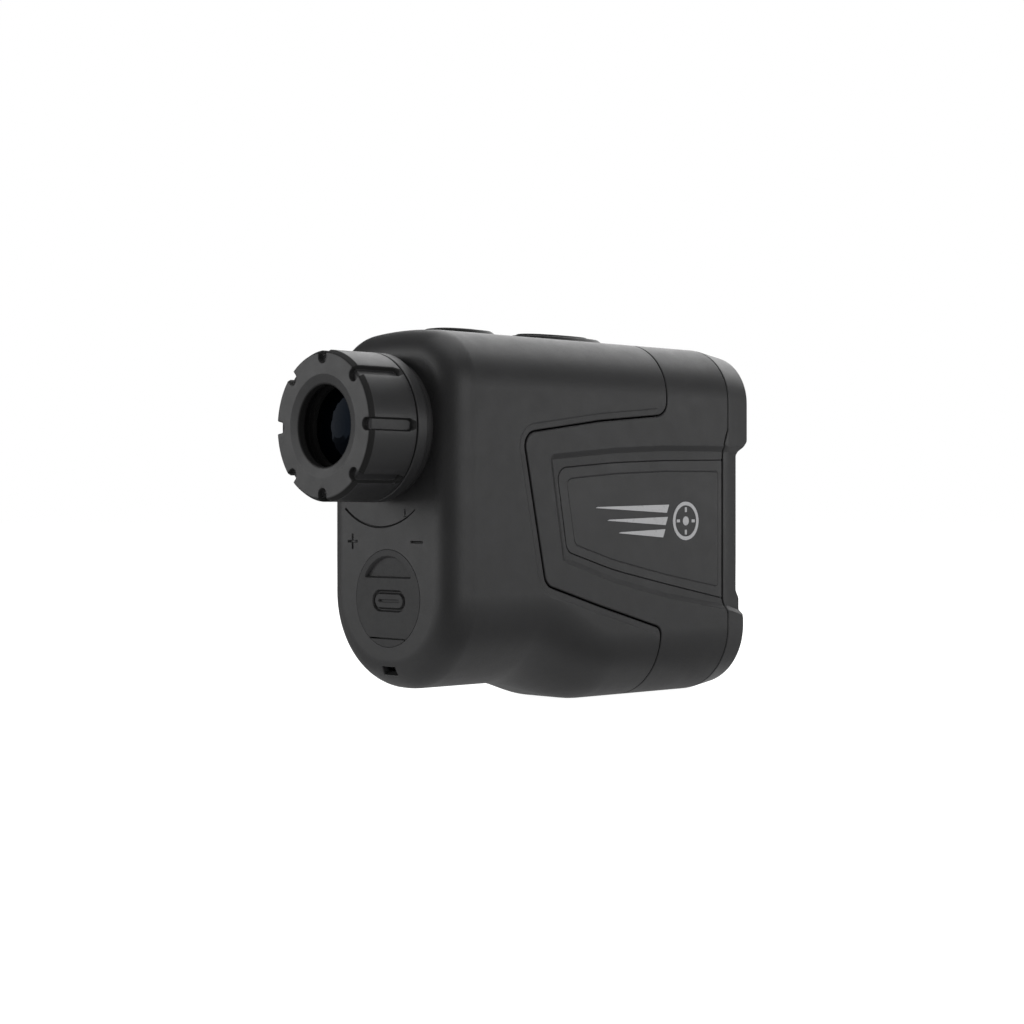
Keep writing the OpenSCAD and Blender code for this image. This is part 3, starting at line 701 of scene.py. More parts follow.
def roll_chains(skin, ids, inner, chains, r, depth, steps=4):
    """Rolls a panel's free edges over and joins them to its back."""
    for chain in chains:
        last = skin.roll([ids[i] for i in chain], r, depth, steps)
        skin.strip([inner[i] for i in chain], last)


def facing_rear(y):
    """Places points (x, z) on the plane at y, sunk by h towards the front."""
    def place(p, h):
        return np.stack([p[:, 0], y + np.broadcast_to(h, p[:, 0].shape), p[:, 1]], 1)
    return place


def no_depth(p):
    return np.zeros(len(p))


REARWARD = np.array([0.0, -1, 0])


def rear_face(skin, rim):
    """The flat rear face inside its rounded edge, with the eyepiece hole and the port recess."""
    neck = circle((0, OPTIC_Z), NECK_HOLE_R + ROLL)
    port = circle((0, COVER_Z), COVER_R + 0.06 + COVER_ROLL, 180)
    marks = focus_marks()

    def depth(p):
        d = np.zeros(len(p))
        for mark in marks:
            d = np.maximum(d, MARK_DEPTH * ramp(signed(p, mark), MARK_EDGE, 0.03))
        return d

    lines = []
    for mark in marks:
        area = 0.5 * np.sum(mark[:, 0] * np.roll(mark[:, 1], -1) - np.roll(mark[:, 0], -1) * mark[:, 1])
        turn = 1 if area > 0 else -1
        lines.append((mark, True))
        lines += [(offset(mark, turn * d, True), True) for d in (-0.12, -0.05, MARK_EDGE)]
    spacing = 1.3
    ids, inner, p, tris = panel(skin, [rim, neck, port], lines, depth, facing_rear(REAR_Y), REARWARD,
                                fill(rim, spacing), spacing * 0.4, WALL)
    r_neck = np.linalg.norm(p - [0, OPTIC_Z], axis=1)
    outer_rim = np.min(np.linalg.norm(p[:, None] - rim[None], axis=2), 1) < 1e-6
    for chain in boundary_chains(tris, lambda a, b: outer_rim[a] and outer_rim[b]):
        if r_neck[chain[0]] < NECK_HOLE_R + 1:
            roll_chains(skin, ids, inner, [chain], ROLL, WALL * 0.9)
        else:
            ring = skin.roll([ids[i] for i in chain], COVER_ROLL, PORT_FLOOR)
            port_recess(skin, ring, [inner[i] for i in chain])


def port_recess(skin, ring, back):
    """Floor of the port recess, with the socket's opening through it."""
    socket_low, socket_high = span("usb_socket")
    z = (socket_low[2] + socket_high[2]) / 2
    half_h = (socket_high[2] - socket_low[2]) / 2 + 0.35
    half_w = socket_high[0] + 0.35
    slot = np.vstack([arc((half_w - half_h, z), half_h, -90, 90, 12),
                      arc((-half_w + half_h, z), half_h, 90, 270, 12)])
    rim = np.array([skin.points[i] for i in ring[:-1]])[:, [0, 2]]
    spacing = 1.5
    ids, inner, p, tris = panel(skin, [rim, slot], [], no_depth, facing_rear(REAR_Y + PORT_FLOOR), REARWARD,
                                fill(rim, spacing), spacing * 0.4, 2.0)
    on_rim = np.min(np.linalg.norm(p[:, None] - rim[None], axis=2), 1) < 1e-6
    for chain in boundary_chains(tris, lambda a, b: False):
        if on_rim[chain[0]]:
            order = [int(np.argmin(np.linalg.norm(
                np.array([skin.points[inner[i]][[0, 2]] for i in chain[:-1]])
                - skin.points[k][[0, 2]], axis=1))) for k in back]
            skin.strip(back, [inner[chain[:-1][k]] for k in order])
        else:
            roll_chains(skin, ids, inner, [chain], 0.1, 1.8)


# ---- Front housing ----


def pocket(p):
    return ramp(signed(yz_of(p), PLATE), 0.14, 0.04)


def lines_at(outline, offsets, y_low, y_high, step=0.8):
    """Constraint lines beside a side outline, cut to a range of y and split where it leaves it."""
    out = []
    for d in offsets:
        line = within(resample(offset(outline, d), step), y_low, y_high)
        jumps = np.where(np.linalg.norm(np.diff(line, axis=0), axis=1) > 3)[0]
        out += [(domain_of(part), False) for part in np.split(line, jumps + 1) if len(part) > 1]
    return out


RECESS_OFFSETS = (-BEVEL_R - 0.04, 0, BEVEL_R, BEVEL_W - BEVEL_R, BEVEL_W, BEVEL_W + BEVEL_R + 0.04)


def front_housing():
    skin = Skin()
    edge = GAP + ROLL
    loop = np.vstack([housing_seam(edge), bezel_seam(-edge)])

    def depth(p):
        return recess_depth(p) + (POCKET_DEPTH - RECESS_DEPTH) * pocket(p)

    limit = BEZEL_RECESS_Y - edge - 0.3
    lines = lines_at(RECESS, RECESS_OFFSETS, -30, limit + 0.2)
    lines += lines_at(PLATE, (-0.08, -0.03, 0.17, 0.22), -30, limit)
    ids, inner, p, tris = body_patch(skin, [loop], lines, depth, -30, 60, 2.4)
    points = np.array([skin.points[i] for i in ids])
    close_edges(skin, ids, inner, tris, points, ROLL)
    skin.mirrored()
    return skin.object("front_housing_shell", "chassis")


# ---- Front bezel ----

BEZEL_FRONT = rounded([(FRONT_Y, 90), (FRONT_Y, 54.8, 1), (49, 51.8, 1), (49, 22, 1), (50.3, 20.4, 1),
                       (50.3, 17.8, 0.6), (51, 17, 0.6), (51, -10)])[1:-1]
FACE_R = 0.4


def face_y(z):
    """How far forward the bezel's front face stands at height z."""
    order = np.argsort(BEZEL_FRONT[:, 1])
    return np.interp(z, BEZEL_FRONT[order, 1], BEZEL_FRONT[order, 0])


def front_line(d):
    """The bezel's front outline in the domain, from the crown down, moved d to the rear."""
    line = resample(BEZEL_FRONT, 0.5) - [d, 0]
    line = line[(line[:, 1] < 62) & (line[:, 1] > 15.2)]
    return closed_to_centre(line, line[0, 0], line[-1, 0])


def face_place(p, h):
    return np.stack([p[:, 0], face_y(p[:, 1]) - h, p[:, 1]], 1)


def front_bezel():
    skin = Skin()
    edge = GAP + ROLL
    loop = np.vstack([bezel_seam(edge), front_line(FACE_R)])

    def depth(p):
        yz = yz_of(p)
        facet = 0.06 * np.maximum(yz[:, 0] - 45.5, 0) * smooth(signed(yz, RECESS) / 1.4)
        return recess_depth(p) + facet

    lines = []
    for line, closed in lines_at(RECESS, RECESS_OFFSETS, BEZEL_RECESS_Y + edge + 0.3, 52):
        line = line[y_of_t(line[:, 0]) < face_y(yz_of(line)[:, 1]) - FACE_R - 0.4]
        if len(line) > 1:
            lines.append((line, closed))
    ids, inner, p, tris = body_patch(skin, [loop], lines, depth, 40, 60, 2.4)
    points = np.array([skin.points[i] for i in ids])
    ahead = y_of_t(p[:, 0]) > face_y(yz_of(p)[:, 1]) - FACE_R - 0.25
    x = points[:, 0]
    for chain in boundary_chains(tris, lambda a, b: abs(x[a]) < 1e-6 and abs(x[b]) < 1e-6):
        outer = [ids[i] for i in chain]
        if ahead[chain[len(chain) // 2]]:
            plain = normals_of(on_body, lambda q: np.zeros(len(q)), p[chain])
            plain = plain * np.sign((plain * [[1, 0, 0]]).sum(1) + (plain[:, 2] * (x[chain] < 8)) * np.sign(
                points[chain][:, 2] - BODY_TOP / 2))[:, None]
            plain[np.abs(x[chain]) < 1e-6, 0] = 0
            last = skin.roll(outer, FACE_R, 0, steps=6, mirror=True, toward=(0, 1, 0), plain=plain)
            half = np.array([skin.points[i] for i in last])
            half_back = np.array([skin.points[inner[i]] for i in chain])
        else:
            last = skin.roll(outer, ROLL, WALL * 0.8, mirror=True)
            skin.strip([inner[i] for i in chain], last)
    skin.mirrored()
    flip = np.array([-1.0, 1, 1])
    rim = np.vstack([half, half[-2:0:-1] * flip])
    back_rim = np.vstack([half_back, half_back[-2:0:-1] * flip])
    front_face(skin, rim, back_rim)
    return skin.object("front_bezel_shell", "chassis")


HOOD_R = 14.1
RIM_R = 9.5
FACE_T = 2.0
laser_low, laser_high = span("laser_lens")
LASER_Z = (laser_low[2] + laser_high[2]) / 2


def front_face(skin, rim, back_rim):
    """The bezel's front, its two openings with their rings, and its back."""
    flat = rim[:, [0, 2]]
    hood = circle((0, OPTIC_Z), HOOD_R, 120)
    emitter = circle((0, LASER_Z), RIM_R, 96)
    stops = BEZEL_FRONT[:, 1]
    rows = np.concatenate([stops[(stops > 16) & (stops < 56)], np.arange(1.2, BODY_TOP, 1.3)])
    grid = lattice(np.arange(-18.85, 19, 1.3), np.sort(rows))
    p, tris = triangulate([flat, hood, emitter], [], grid, clear=0.3)
    front_at = {tuple(np.round(q, 4)): k for k, q in enumerate(flat)}
    outer = face_place(p, np.zeros(len(p)))
    back = face_place(p * [0.97, 1], np.full(len(p), FACE_T))
    for k, q in enumerate(p):
        at = front_at.get(tuple(np.round(q, 4)))
        if at is not None:
            outer[k], back[k] = rim[at], back_rim[at]
    normal = normals_of(face_place, lambda q: np.zeros(len(q)), p)
    ids = skin.add(outer, normal * np.sign(normal[:, 1])[:, None])
    inner = skin.add(back, np.zeros_like(back))
    skin.faces += [tuple(ids[i] for i in t) for t in tris]
    skin.faces += [tuple(inner[i] for i in reversed(t)) for t in tris]
    on_rim = among(p, flat)
    for chain in boundary_chains(tris, lambda a, b: on_rim[a] and on_rim[b]):
        start = p[chain[0]]
        if start[1] > (OPTIC_Z + LASER_Z) / 2 - 1:
            centre, outside, radius, front = OPTIC_Z, HOOD_R, 12.4, 51.8
        else:
            centre, outside, radius, front = LASER_Z, RIM_R, 7.6, 49.6
        corners = [(outside, front - 0.9), (outside, front, 0.25), (radius, front, 0.3), (radius, 45.8)]
        section = rounded(corners, 5)[1:]
        a = np.arctan2(p[chain][:, 1] - centre, p[chain][:, 0])
        previous = [ids[i] for i in chain]
        for r, y in section:
            q = np.stack([r * np.cos(a), np.full(len(a), y), centre + r * np.sin(a)], 1)
            ring = skin.add(q, np.zeros_like(q))
            skin.strip(previous, ring)
            previous = ring
        skin.strip(previous, [inner[i] for i in chain])


# ---- Side plates and their emblem ----

PLATE_X = HALF_W - RECESS_DEPTH - 0.02
INK_T = 0.03
INNER_LINE = rounded([(41.8, 48.1, 0.8), (24.2, 47.9, 90), (8.9, 47.2, 90), (-5.0, 46.0, 1.4),
                      (-2.5, 32.7, 1.4), (8.9, 29.4, 90), (24.2, 26.2, 90), (41.8, 23.1, 0.8)])


def side_patch(name, outline, x, side, lines, depth, roll, thick, spacing, holes=()):
    """A flat panel facing sideways, its edges rolled over, as its own object."""
    skin = Skin()

    def place(p, h):
        h = np.broadcast_to(h, p[:, 0].shape)
        return np.stack([side * (x - h), p[:, 0], p[:, 1]], 1)

    ids, inner, p, tris = panel(skin, [outline, *holes], lines, depth, place, np.array([side, 0, 0]),
                                fill(outline, spacing, spacing / 2), spacing * 0.4, thick)
    roll_chains(skin, ids, inner, boundary_chains(tris, lambda a, b: False), roll, thick * 0.9, 3)
    piece = skin.object(name, "chassis")
    return piece


def groove(line, half_w, deep):
    def depth(p):
        gap = distance(p, line, closed=True)
        return deep * (1 - smooth((gap - half_w * 0.4) / (half_w * 0.6)))
    return depth


def side_plate(side, name):
    gap = 0.3
    front = 42.95
    # PLATE runs along the top to the rear and back along the bottom
    cut = PLATE[PLATE[:, 0] < front - 0.3]
    outline = offset(np.vstack([[(front, 50.72)], cut, [(front, 20.5)]]), gap)
    outline[0, 0] = outline[-1, 0] = front
    outline = resample(outline, 1.2, closed=True)
    line = resample(INNER_LINE, 1.0, closed=True)
    lines = [(offset(line, d, True), True) for d in (-0.2, -0.13, -0.06, 0, 0.06, 0.13, 0.2)]
    return side_patch(name, outline, PLATE_X, side, lines, groove(line, 0.13, 0.11), 0.12, 0.5, 1.5)


def emblem(side, name):
    """A made-up mark: a ring with cross ticks and three streaks trailing from it."""
    pieces = []
    y0, z0 = ring_c = (31.3, 37.4)
    parts = [(circle(ring_c, 4.1, 72), [circle(ring_c, 3.35, 72)]), (circle(ring_c, 0.95, 40), [])]
    for k in range(4):
        c, s = math.cos(math.pi / 2 * k), math.sin(math.pi / 2 * k)
        corners = [(1.9, -0.3), (2.9, -0.3), (2.9, 0.3), (1.9, 0.3)]
        tick = np.array([(y0 + c * a - s * b, z0 + s * a + c * b) for a, b in corners])
        parts.append((resample(tick, 0.4, True), []))
    high, lean, pitch = 1.7, 0.35, 2.6
    for k, (start, length) in enumerate([(25.6, 21.5), (25.2, 17.6), (24.4, 13.4)]):
        z = 40.0 - k * pitch
        corners = [(start + lean, z + high / 2), (start - length, z + high / 2 - 0.55),
                   (start - length - 0.6, z + high / 2 - 0.72), (start - lean, z - high / 2)]
        parts.append((resample(np.array(corners), 0.8, True), []))
    for k, (outline, holes) in enumerate(parts):
        piece = side_patch("%s_%02d" % (name, k), outline, PLATE_X + INK_T, side, [], no_depth,
                           0.02, 0.06, 0.9, holes)
        pieces.append(piece)
    return pieces


# ---- Turned parts and the eyepiece ----


def turned(name, body, corners, steps=128, fillet=6):
    """A closed ring turned about the optical axis. Corners are (r, y) or (r, y, radius)."""
    skin = Skin()
    profile = rounded(corners, fillet)
    profile = resample(profile, 1.5, closed=True)
    rings = []
    a = np.arange(steps) * 2 * math.pi / steps
    for r, y in profile:
        q = np.stack([r * np.cos(a), np.full(steps, y), OPTIC_Z + r * np.sin(a)], 1)
        ring = skin.add(q, np.zeros_like(q))
        rings.append(ring + ring[:1])
    for k in range(len(rings)):
        skin.strip(rings[k], rings[(k + 1) % len(rings)])
    piece = skin.object(name, body)
    sharp_shading(piece)
    return piece


def sharp_shading(piece):
    """Weighted normals, so that flats stay flat beside their small fillets."""
    mod = piece.modifiers.new("weighted", "WEIGHTED_NORMAL")
    mod.keep_sharp = True
    mod.weight = 60


GROOVE_W = 2.5
GROOVE_IN_R = 12.0
GROOVE_FLOOR_R = 13.7
# Thickness of the ring's rear lip, radius of the eye opening, radius of the bore round the sleeve
LIP = 1.9
EYE_R = 8.0
BORE_R = 13.2
# Start and end of the chamfer, from the ring's rear face
CHAMFER = (0.08, 1.05)


def diopter_ring():
    """The focus ring, its eight finger grooves cut over the chamfer."""
    face, end = ring_low[1], ring_high[1]
    r_out = ring_high[0]
    profile = rounded([(EYE_R, face + LIP), (EYE_R, face + 0.5, 0.15), (10.0, face, 0.3),
                       (r_out - 0.6, face, 0.35), (r_out, face + 1.1, 0.45), (r_out, end, 0.25),
                       (BORE_R, end), (BORE_R, face + LIP)], 5)
    length = np.concatenate([[0], np.cumsum(np.linalg.norm(np.diff(profile, axis=0), axis=1))])
    groove_end = end - 0.75
    bore_start = LIP + 0.3
    bore_end = length[-1] - (end - face - LIP) - (r_out - BORE_R) - 1.0
    scale = 13.0
    sector = math.pi / 8

    def surface(p):
        r = np.interp(p[:, 0], length, profile[:, 0])
        y = np.interp(p[:, 0], length, profile[:, 1])
        return r, y

    def mask(p):
        r, y = surface(p)
        w = r * np.sin(p[:, 1] / scale)
        on_front = y < face + 0.9
        over_face = np.hypot(np.minimum(r - GROOVE_IN_R - GROOVE_W / 2, 0), w)
        over_side = np.hypot(np.maximum(y - groove_end + GROOVE_W / 2, 0), w)
        gap = GROOVE_W / 2 - np.where(on_front, over_face, over_side)
        gap = np.where(p[:, 0] > bore_end, -1, gap)
        gap = np.where(p[:, 0] < bore_start - 0.1, -1, gap)
        return ramp(gap, 0.2, 0.08)

    def place(p, h):
        r, y = surface(p)
        floor_r = np.minimum(r, GROOVE_FLOOR_R)
        floor_y = np.maximum(y, face + 1.0)
        r = r + (floor_r - r) * h
        y = y + (floor_y - y) * h
        a = p[:, 1] / scale
        return np.stack([r * np.sin(a), y, OPTIC_Z + r * np.cos(a)], 1)

    half = sector * scale
    steps = np.linspace(-half, half, 17)
    s_lines = np.unique(np.concatenate([length, np.arange(0, length[-1], 0.9), [length[-1]]]))
    keep = [s_lines[0]]
    for v in s_lines[1:]:
        if v - keep[-1] > 0.02:
            keep.append(v)
    keep[-1] = length[-1]
    outline = np.vstack([[(keep[0], u) for u in steps], [(v, half) for v in keep[1:-1]],
                         [(keep[-1], u) for u in steps[::-1]], [(v, -half) for v in keep[-2:0:-1]]])
    # Edge lines of the groove, from its end on the face to its end on the side
    lines = []
    fine = np.linspace(0, length[-1], 6000)
    r_f = np.interp(fine, length, profile[:, 0])
    y_f = np.interp(fine, length, profile[:, 1])
    for inset in (-0.08, 0.04, 0.16, 0.28):
        w_half = GROOVE_W / 2 - inset
        body_part = (fine > bore_start) & (fine < bore_end)
        reach = np.where(y_f < face + 0.9, np.minimum(r_f - GROOVE_IN_R - GROOVE_W / 2, 0),
                         np.maximum(y_f - groove_end + GROOVE_W / 2, 0))
        inside_it = body_part & (np.abs(reach) < w_half)
        w = np.sqrt(np.maximum(w_half ** 2 - reach[inside_it] ** 2, 0))
        u = scale * np.arcsin(w / r_f[inside_it])
        side_line = np.stack([fine[inside_it], u], 1)
        chosen = [side_line[0]]
        for q in side_line[1:]:
            if np.linalg.norm(q - chosen[-1]) > 0.22:
                chosen.append(q)
        chosen = np.array(chosen)
        chosen[0, 1] = max(chosen[0, 1], 0)
        loop = np.vstack([chosen, chosen[::-1] * [1, -1]])
        lines.append((loop, True))
    grid = lattice(np.array(keep[1:-1]), steps[1:-1])
    p, tris = triangulate([outline], lines, grid, clear=0.1)
    h = mask(p)
    outer = place(p, h)
    normal = normals_of(place, mask, p, 0.01)
    skin = Skin()
    for k in range(8):
        a = k * math.pi / 4
        turn = np.array([[math.cos(a), 0, math.sin(a)], [0, 1, 0], [-math.sin(a), 0, math.cos(a)]])
        centre = np.array([0, 0, OPTIC_Z])
        q = (outer - centre) @ turn.T + centre
        ids = skin.add(q, normal @ turn.T)
        skin.faces += [tuple(ids[i] for i in t) for t in tris]
    # The inner wall joins the first line of the profile to the last
    inner = []
    for r, y in (profile[-1], profile[0]):
        a = np.concatenate([k * math.pi / 4 + steps[:-1] / scale for k in range(8)])
        q = np.stack([r * np.sin(a), np.full(len(a), y), OPTIC_Z + r * np.cos(a)], 1)
        ring = skin.add(q, np.zeros_like(q))
        inner.append(ring + ring[:1])
    skin.strip(inner[0], inner[1])
    return skin.object("diopter_ring_grip", "diopter")


def blacken_ring_and_paint_groove_shade(piece):
    """Gives the ring's chamfer and eye opening flat black faces, and paints shade on the walls of the finger
    grooves with the same flat black.
    """
    piece.data.materials.append(MATERIALS["inner_plastic"])
    start, end = (ring_low[1] + v for v in CHAMFER)
    for face in piece.data.polygons:
        x, y, z = np.array(face.center) / MM
        r = math.hypot(x, z - OPTIC_Z)
        chamfer = start < y < end and r > ring_high[0] - 0.75
        # Painted shade: the walls of the finger grooves, on the side and on the rear face, are set flat black
        # to stand in for the shadow deep inside the grooves.
        side_wall_shade = y > end and GROOVE_FLOOR_R + 0.12 < r < ring_high[0] - 0.1
        face_wall_shade = ring_low[1] + 0.12 < y < ring_low[1] + 0.9 and r > GROOVE_IN_R - 0.3
        if chamfer or side_wall_shade or face_wall_shade or r < EYE_R + 0.3:
            face.material_index = 1


def eyepiece_collar():
    low, high = collar_low[1], collar_high[1]
    flange = ring_high[1] + 0.3
    out = collar_high[0] - 0.8
    bore, sleeve = 11.2, 12.0
    corners = [(bore, low), (sleeve, low, 0.15), (sleeve, flange), (out, flange, 0.3),
               (out, flange + 2.5, 0.35), (out - 0.6, flange + 2.5, 0.1), (out - 0.6, flange + 2.9, 0.2),
               (out - 1.1, flange + 2.9, 0.1), (out - 1.1, REAR_Y + 0.02, 0.1), (sleeve, REAR_Y + 0.02),
               (sleeve, high), (bore, high)]
    return turned("eyepiece_collar_ring", "chassis", corners)


# ---- Port cover ----


COVER_BACK_Y = -34.8
COVER_PROUD = 0.03


def cover_piece(name, body, keep_above, z_cut):
    """The part of the cover disc above or below its hinge, with its icon and finger notch."""
    skin = Skin()
    disc = circle((0, COVER_Z), COVER_R - COVER_ROLL, 180)
    keep = disc[:, 1] > z_cut if keep_above else disc[:, 1] < z_cut
    start = int(np.argmax(keep & ~np.roll(keep, 1)))
    disc = np.roll(disc, -start, 0)
    disc = disc[np.roll(keep, -start)]
    chord = resample(np.array([disc[-1], disc[0]]), 0.8)[1:-1]
    outline = np.vstack([disc, chord])
    lines = []
    if keep_above:
        icon_r, icon_half = 1.75, 4.55
        icon_x = 0.35
        icon = np.vstack([arc((icon_x + icon_half - icon_r, COVER_Z - 0.5), icon_r, -90, 90, 16),
                          arc((icon_x + icon_r - icon_half, COVER_Z - 0.5), icon_r, 90, 270, 16)])
        notch_r = 8.1
        notch = arc((0, COVER_Z + 8.4 - notch_r), notch_r, 0, 180, 60)
        notch = notch[notch[:, 1] > COVER_Z + 4.05]
        notch = rounded([(notch[0][0] - 0.02, COVER_Z + 4.0, 0.5), *map(tuple, notch),
                         (notch[-1][0] + 0.02, COVER_Z + 4.0, 0.5)], 5)
        notch = resample(notch, 0.6, closed=True)
        icon = resample(icon, 0.6, closed=True)
        lines = [(offset(notch, d, True), True) for d in (-0.09, 0, 0.28, 0.36)]
        lines += [(offset(icon, d, True), True) for d in (-0.48, -0.42, -0.34, 0.34, 0.42, 0.48)]
        bar_line = np.array([(icon_x + x, COVER_Z - 0.5) for x in np.linspace(-2.9, 2.9, 10)])
        around = bar((icon_x, COVER_Z - 0.5), 3.2, 0.3)
        lines += [(offset(around, d, True), True) for d in (0.12, 0, -0.08)]

        def depth(p):
            d = 0.75 * ramp(signed(p, notch) - 0.02, 0.26, 0.06)
            for line, closed, half in ((icon, True, 0.42), (bar_line, False, 0.3)):
                gap = distance(p, line, closed)
                d = np.maximum(d, 0.5 * (1 - smooth((gap - half + 0.08) / 0.08)))
            return d
    else:
        depth = no_depth

    grid = lattice(np.arange(-10, 10, 0.9), np.arange(COVER_Z - 10, COVER_Z + 10, 0.9))
    thick = COVER_BACK_Y - REAR_Y
    ids, inner, p, tris = panel(skin, [outline], lines, depth, facing_rear(REAR_Y - COVER_PROUD), REARWARD,
                                grid, 0.3, thick)
    roll_chains(skin, ids, inner, boundary_chains(tris, lambda a, b: False), COVER_ROLL, thick * 0.95)
    return skin.object(name, body)


# ---- Buttons ----


def crown_z(x):
    return BODY_TOP - CROWN_R + np.sqrt(CROWN_R ** 2 - np.asarray(x, float) ** 2)


def polar_rings(skin, rings, closed_top=None):
    """Joins rings of points, each the same length, and closes the last one on a point."""
    numbers = []
    for ring in rings:
        ids = skin.add(ring, np.zeros_like(ring))
        numbers.append(ids + ids[:1])
    for a, b in zip(numbers[:-1], numbers[1:]):
        skin.strip(a, b)
    if closed_top is not None:
        top = skin.add([closed_top], np.zeros((1, 3)))[0]
        last = numbers[-1]
        skin.faces += [(last[k], last[k + 1], top) for k in range(len(last) - 1)]
    return numbers


ANGLES = np.arange(120) * 2 * math.pi / 120
CAP_DISH = 0.42
CAP_EDGE = 0.35
CAP_SKIRT = 2.6
RIM_GAP = 0.3
RIM_RISE = 0.78
RIM_EDGE = 0.22
RIM_SKIRT = 2.2


def ellipse(centre_y, half_w, half_l):
    return np.stack([half_w * np.cos(ANGLES), centre_y + half_l * np.sin(ANGLES)], 1)


def button_cap(name, body, box, front_slope):
    y0, half_w, half_l = key_size(box)
    top = box[1][2]
    skin = Skin()

    def surface(xy):
        d = np.hypot(xy[:, 0] / half_w, (xy[:, 1] - y0) / half_l)
        dish = CAP_DISH * (1 - np.clip(d, 0, 1) ** 2)
        slope = front_slope * smooth((xy[:, 1] - (y0 + half_l * 0.62)) / (half_l * 0.38))
        return crown_z(xy[:, 0]) - BODY_TOP + top - dish - slope

    edge = CAP_EDGE
    rings = []
    base = ellipse(y0, half_w, half_l)
    rings.append(np.column_stack([base, crown_z(base[:, 0]) - CAP_SKIRT]))
    for k in range(0, 6):
        a = math.pi / 2 * k / 5
        ring = ellipse(y0, half_w - edge * (1 - math.cos(a)), half_l - edge * (1 - math.cos(a)))
        lip = ellipse(y0, half_w - edge, half_l - edge)
        rings.append(np.column_stack([ring, surface(lip) - edge * (1 - math.sin(a))]))
    for f in np.linspace(1, 0, 22)[1:-1]:
        ring = ellipse(y0, (half_w - edge) * f, (half_l - edge) * f)
        rings.append(np.column_stack([ring, surface(ring)]))
    centre = np.array([[0.0, y0]])
    top_point = np.array([0, y0, surface(centre)[0]])
    numbers = polar_rings(skin, rings, top_point)
    low = skin.add([np.array([0, y0, rings[0][:, 2].mean()])], np.zeros((1, 3)))[0]
    skin.faces += [(numbers[0][k + 1], numbers[0][k], low) for k in range(len(numbers[0]) - 1)]
    return skin.object(name, body)


def button_rim(name, rim_box, key_box):
    """Raised rim round a button, draped over the crown and thinning to nothing outside."""
    low, high = rim_box
    y_rim, half_w, half_l = (low[1] + high[1]) / 2, high[0], (high[1] - low[1]) / 2
    y0, key_w, key_l = key_size(key_box)
    skin = Skin()
    inner = ellipse(y0, key_w + RIM_GAP, key_l + RIM_GAP)
    outer = ellipse(y_rim, half_w, half_l)
    across = outer - inner
    across_n = across / np.linalg.norm(across, axis=1)[:, None]
    rise, edge = RIM_RISE, RIM_EDGE
    rings = [np.column_stack([inner, crown_z(inner[:, 0]) - RIM_SKIRT])]
    for k in range(5):
        a = math.pi / 2 * k / 4
        ring = inner + across_n * edge * (1 - math.cos(a))
        rings.append(np.column_stack([ring, crown_z(ring[:, 0]) + rise - edge * (1 - math.sin(a))]))
    first = inner + across_n * edge
    for f in np.linspace(0, 1, 15)[1:]:
        ring = first + (outer - first) * f
        h = rise * (1 - smooth((f - 0.5) / 0.5)) - 0.03 * f
        rings.append(np.column_stack([ring, crown_z(ring[:, 0]) + h]))
    rings.append(np.column_stack([outer, crown_z(outer[:, 0]) - 0.5]))
    rings.append(np.column_stack([inner, crown_z(inner[:, 0]) - RIM_SKIRT]))
    polar_rings(skin, rings)
    return skin.object(name, "chassis")


# ---- Materials ----


class Mat:
    """Small helper for building node materials."""

    def __init__(self, name):
        self.mat = bpy.data.materials.new(name)
        self.mat.use_nodes = True
        self.tree = self.mat.node_tree
        self.shader = next(n for n in self.tree.nodes if n.type == "BSDF_PRINCIPLED")
        self.coord = self.node("ShaderNodeTexCoord").outputs["Object"]

    def node(self, kind, **inputs):
        made = self.tree.nodes.new(kind)
        for key, value in inputs.items():
            self.put(made.inputs[key.replace("_", " ")], value)
        return made

    def put(self, socket, value):
        if isinstance(value, bpy.types.NodeSocket):
            self.tree.links.new(value, socket)
        else:
            socket.default_value = value

    def noise(self, scale, detail=3.0, rough=0.55):
        """Noise at scale features per millimetre."""
        return self.node("ShaderNodeTexNoise", Vector=self.coord, Scale=scale * 1000.0, Detail=detail,
                         Roughness=rough).outputs["Fac"]

    def spread(self, value, low, high, source=(0.3, 0.7)):
        made = self.node("ShaderNodeMapRange", Value=value)
        for key, v in zip(("From Min", "From Max", "To Min", "To Max"), (*source, low, high)):
            made.inputs[key].default_value = v
        return made.outputs["Result"]

    def blend(self, factor, a, b):
        made = self.tree.nodes.new("ShaderNodeMix")
        made.data_type = "RGBA"
        self.put(made.inputs[0], factor)
        self.put(made.inputs[6], (*a, 1.0) if isinstance(a, tuple) else a)
        self.put(made.inputs[7], (*b, 1.0) if isinstance(b, tuple) else b)
        return made.outputs[2]

    def add(self, a, b, operation="ADD"):
        made = self.tree.nodes.new("ShaderNodeMath")
        made.operation = operation
        self.put(made.inputs[0], a)
        self.put(made.inputs[1], b)
        return made.outputs[0]

    def edges(self, low=0.515, high=0.57):
        """High where the mesh is sharply convex, broken up by noise, for rubbed edges."""
        point = self.node("ShaderNodeNewGeometry").outputs["Pointiness"]
        worn = self.spread(point, 0.0, 1.0, (low, high))
        return self.add(worn, self.spread(self.noise(0.35, 4.0), 0.15, 1.0), "MULTIPLY")

    def set(self, **values):
        for key, value in values.items():
            self.put(self.shader.inputs[key.replace("_", " ")], value)

    def bump(self, height, depth_mm, strength=1.0):
        made = self.node("ShaderNodeBump", Height=height)
        made.inputs["Strength"].default_value = strength
        made.inputs["Distance"].default_value = depth_mm * MM
        self.set(Normal=made.outputs["Normal"])


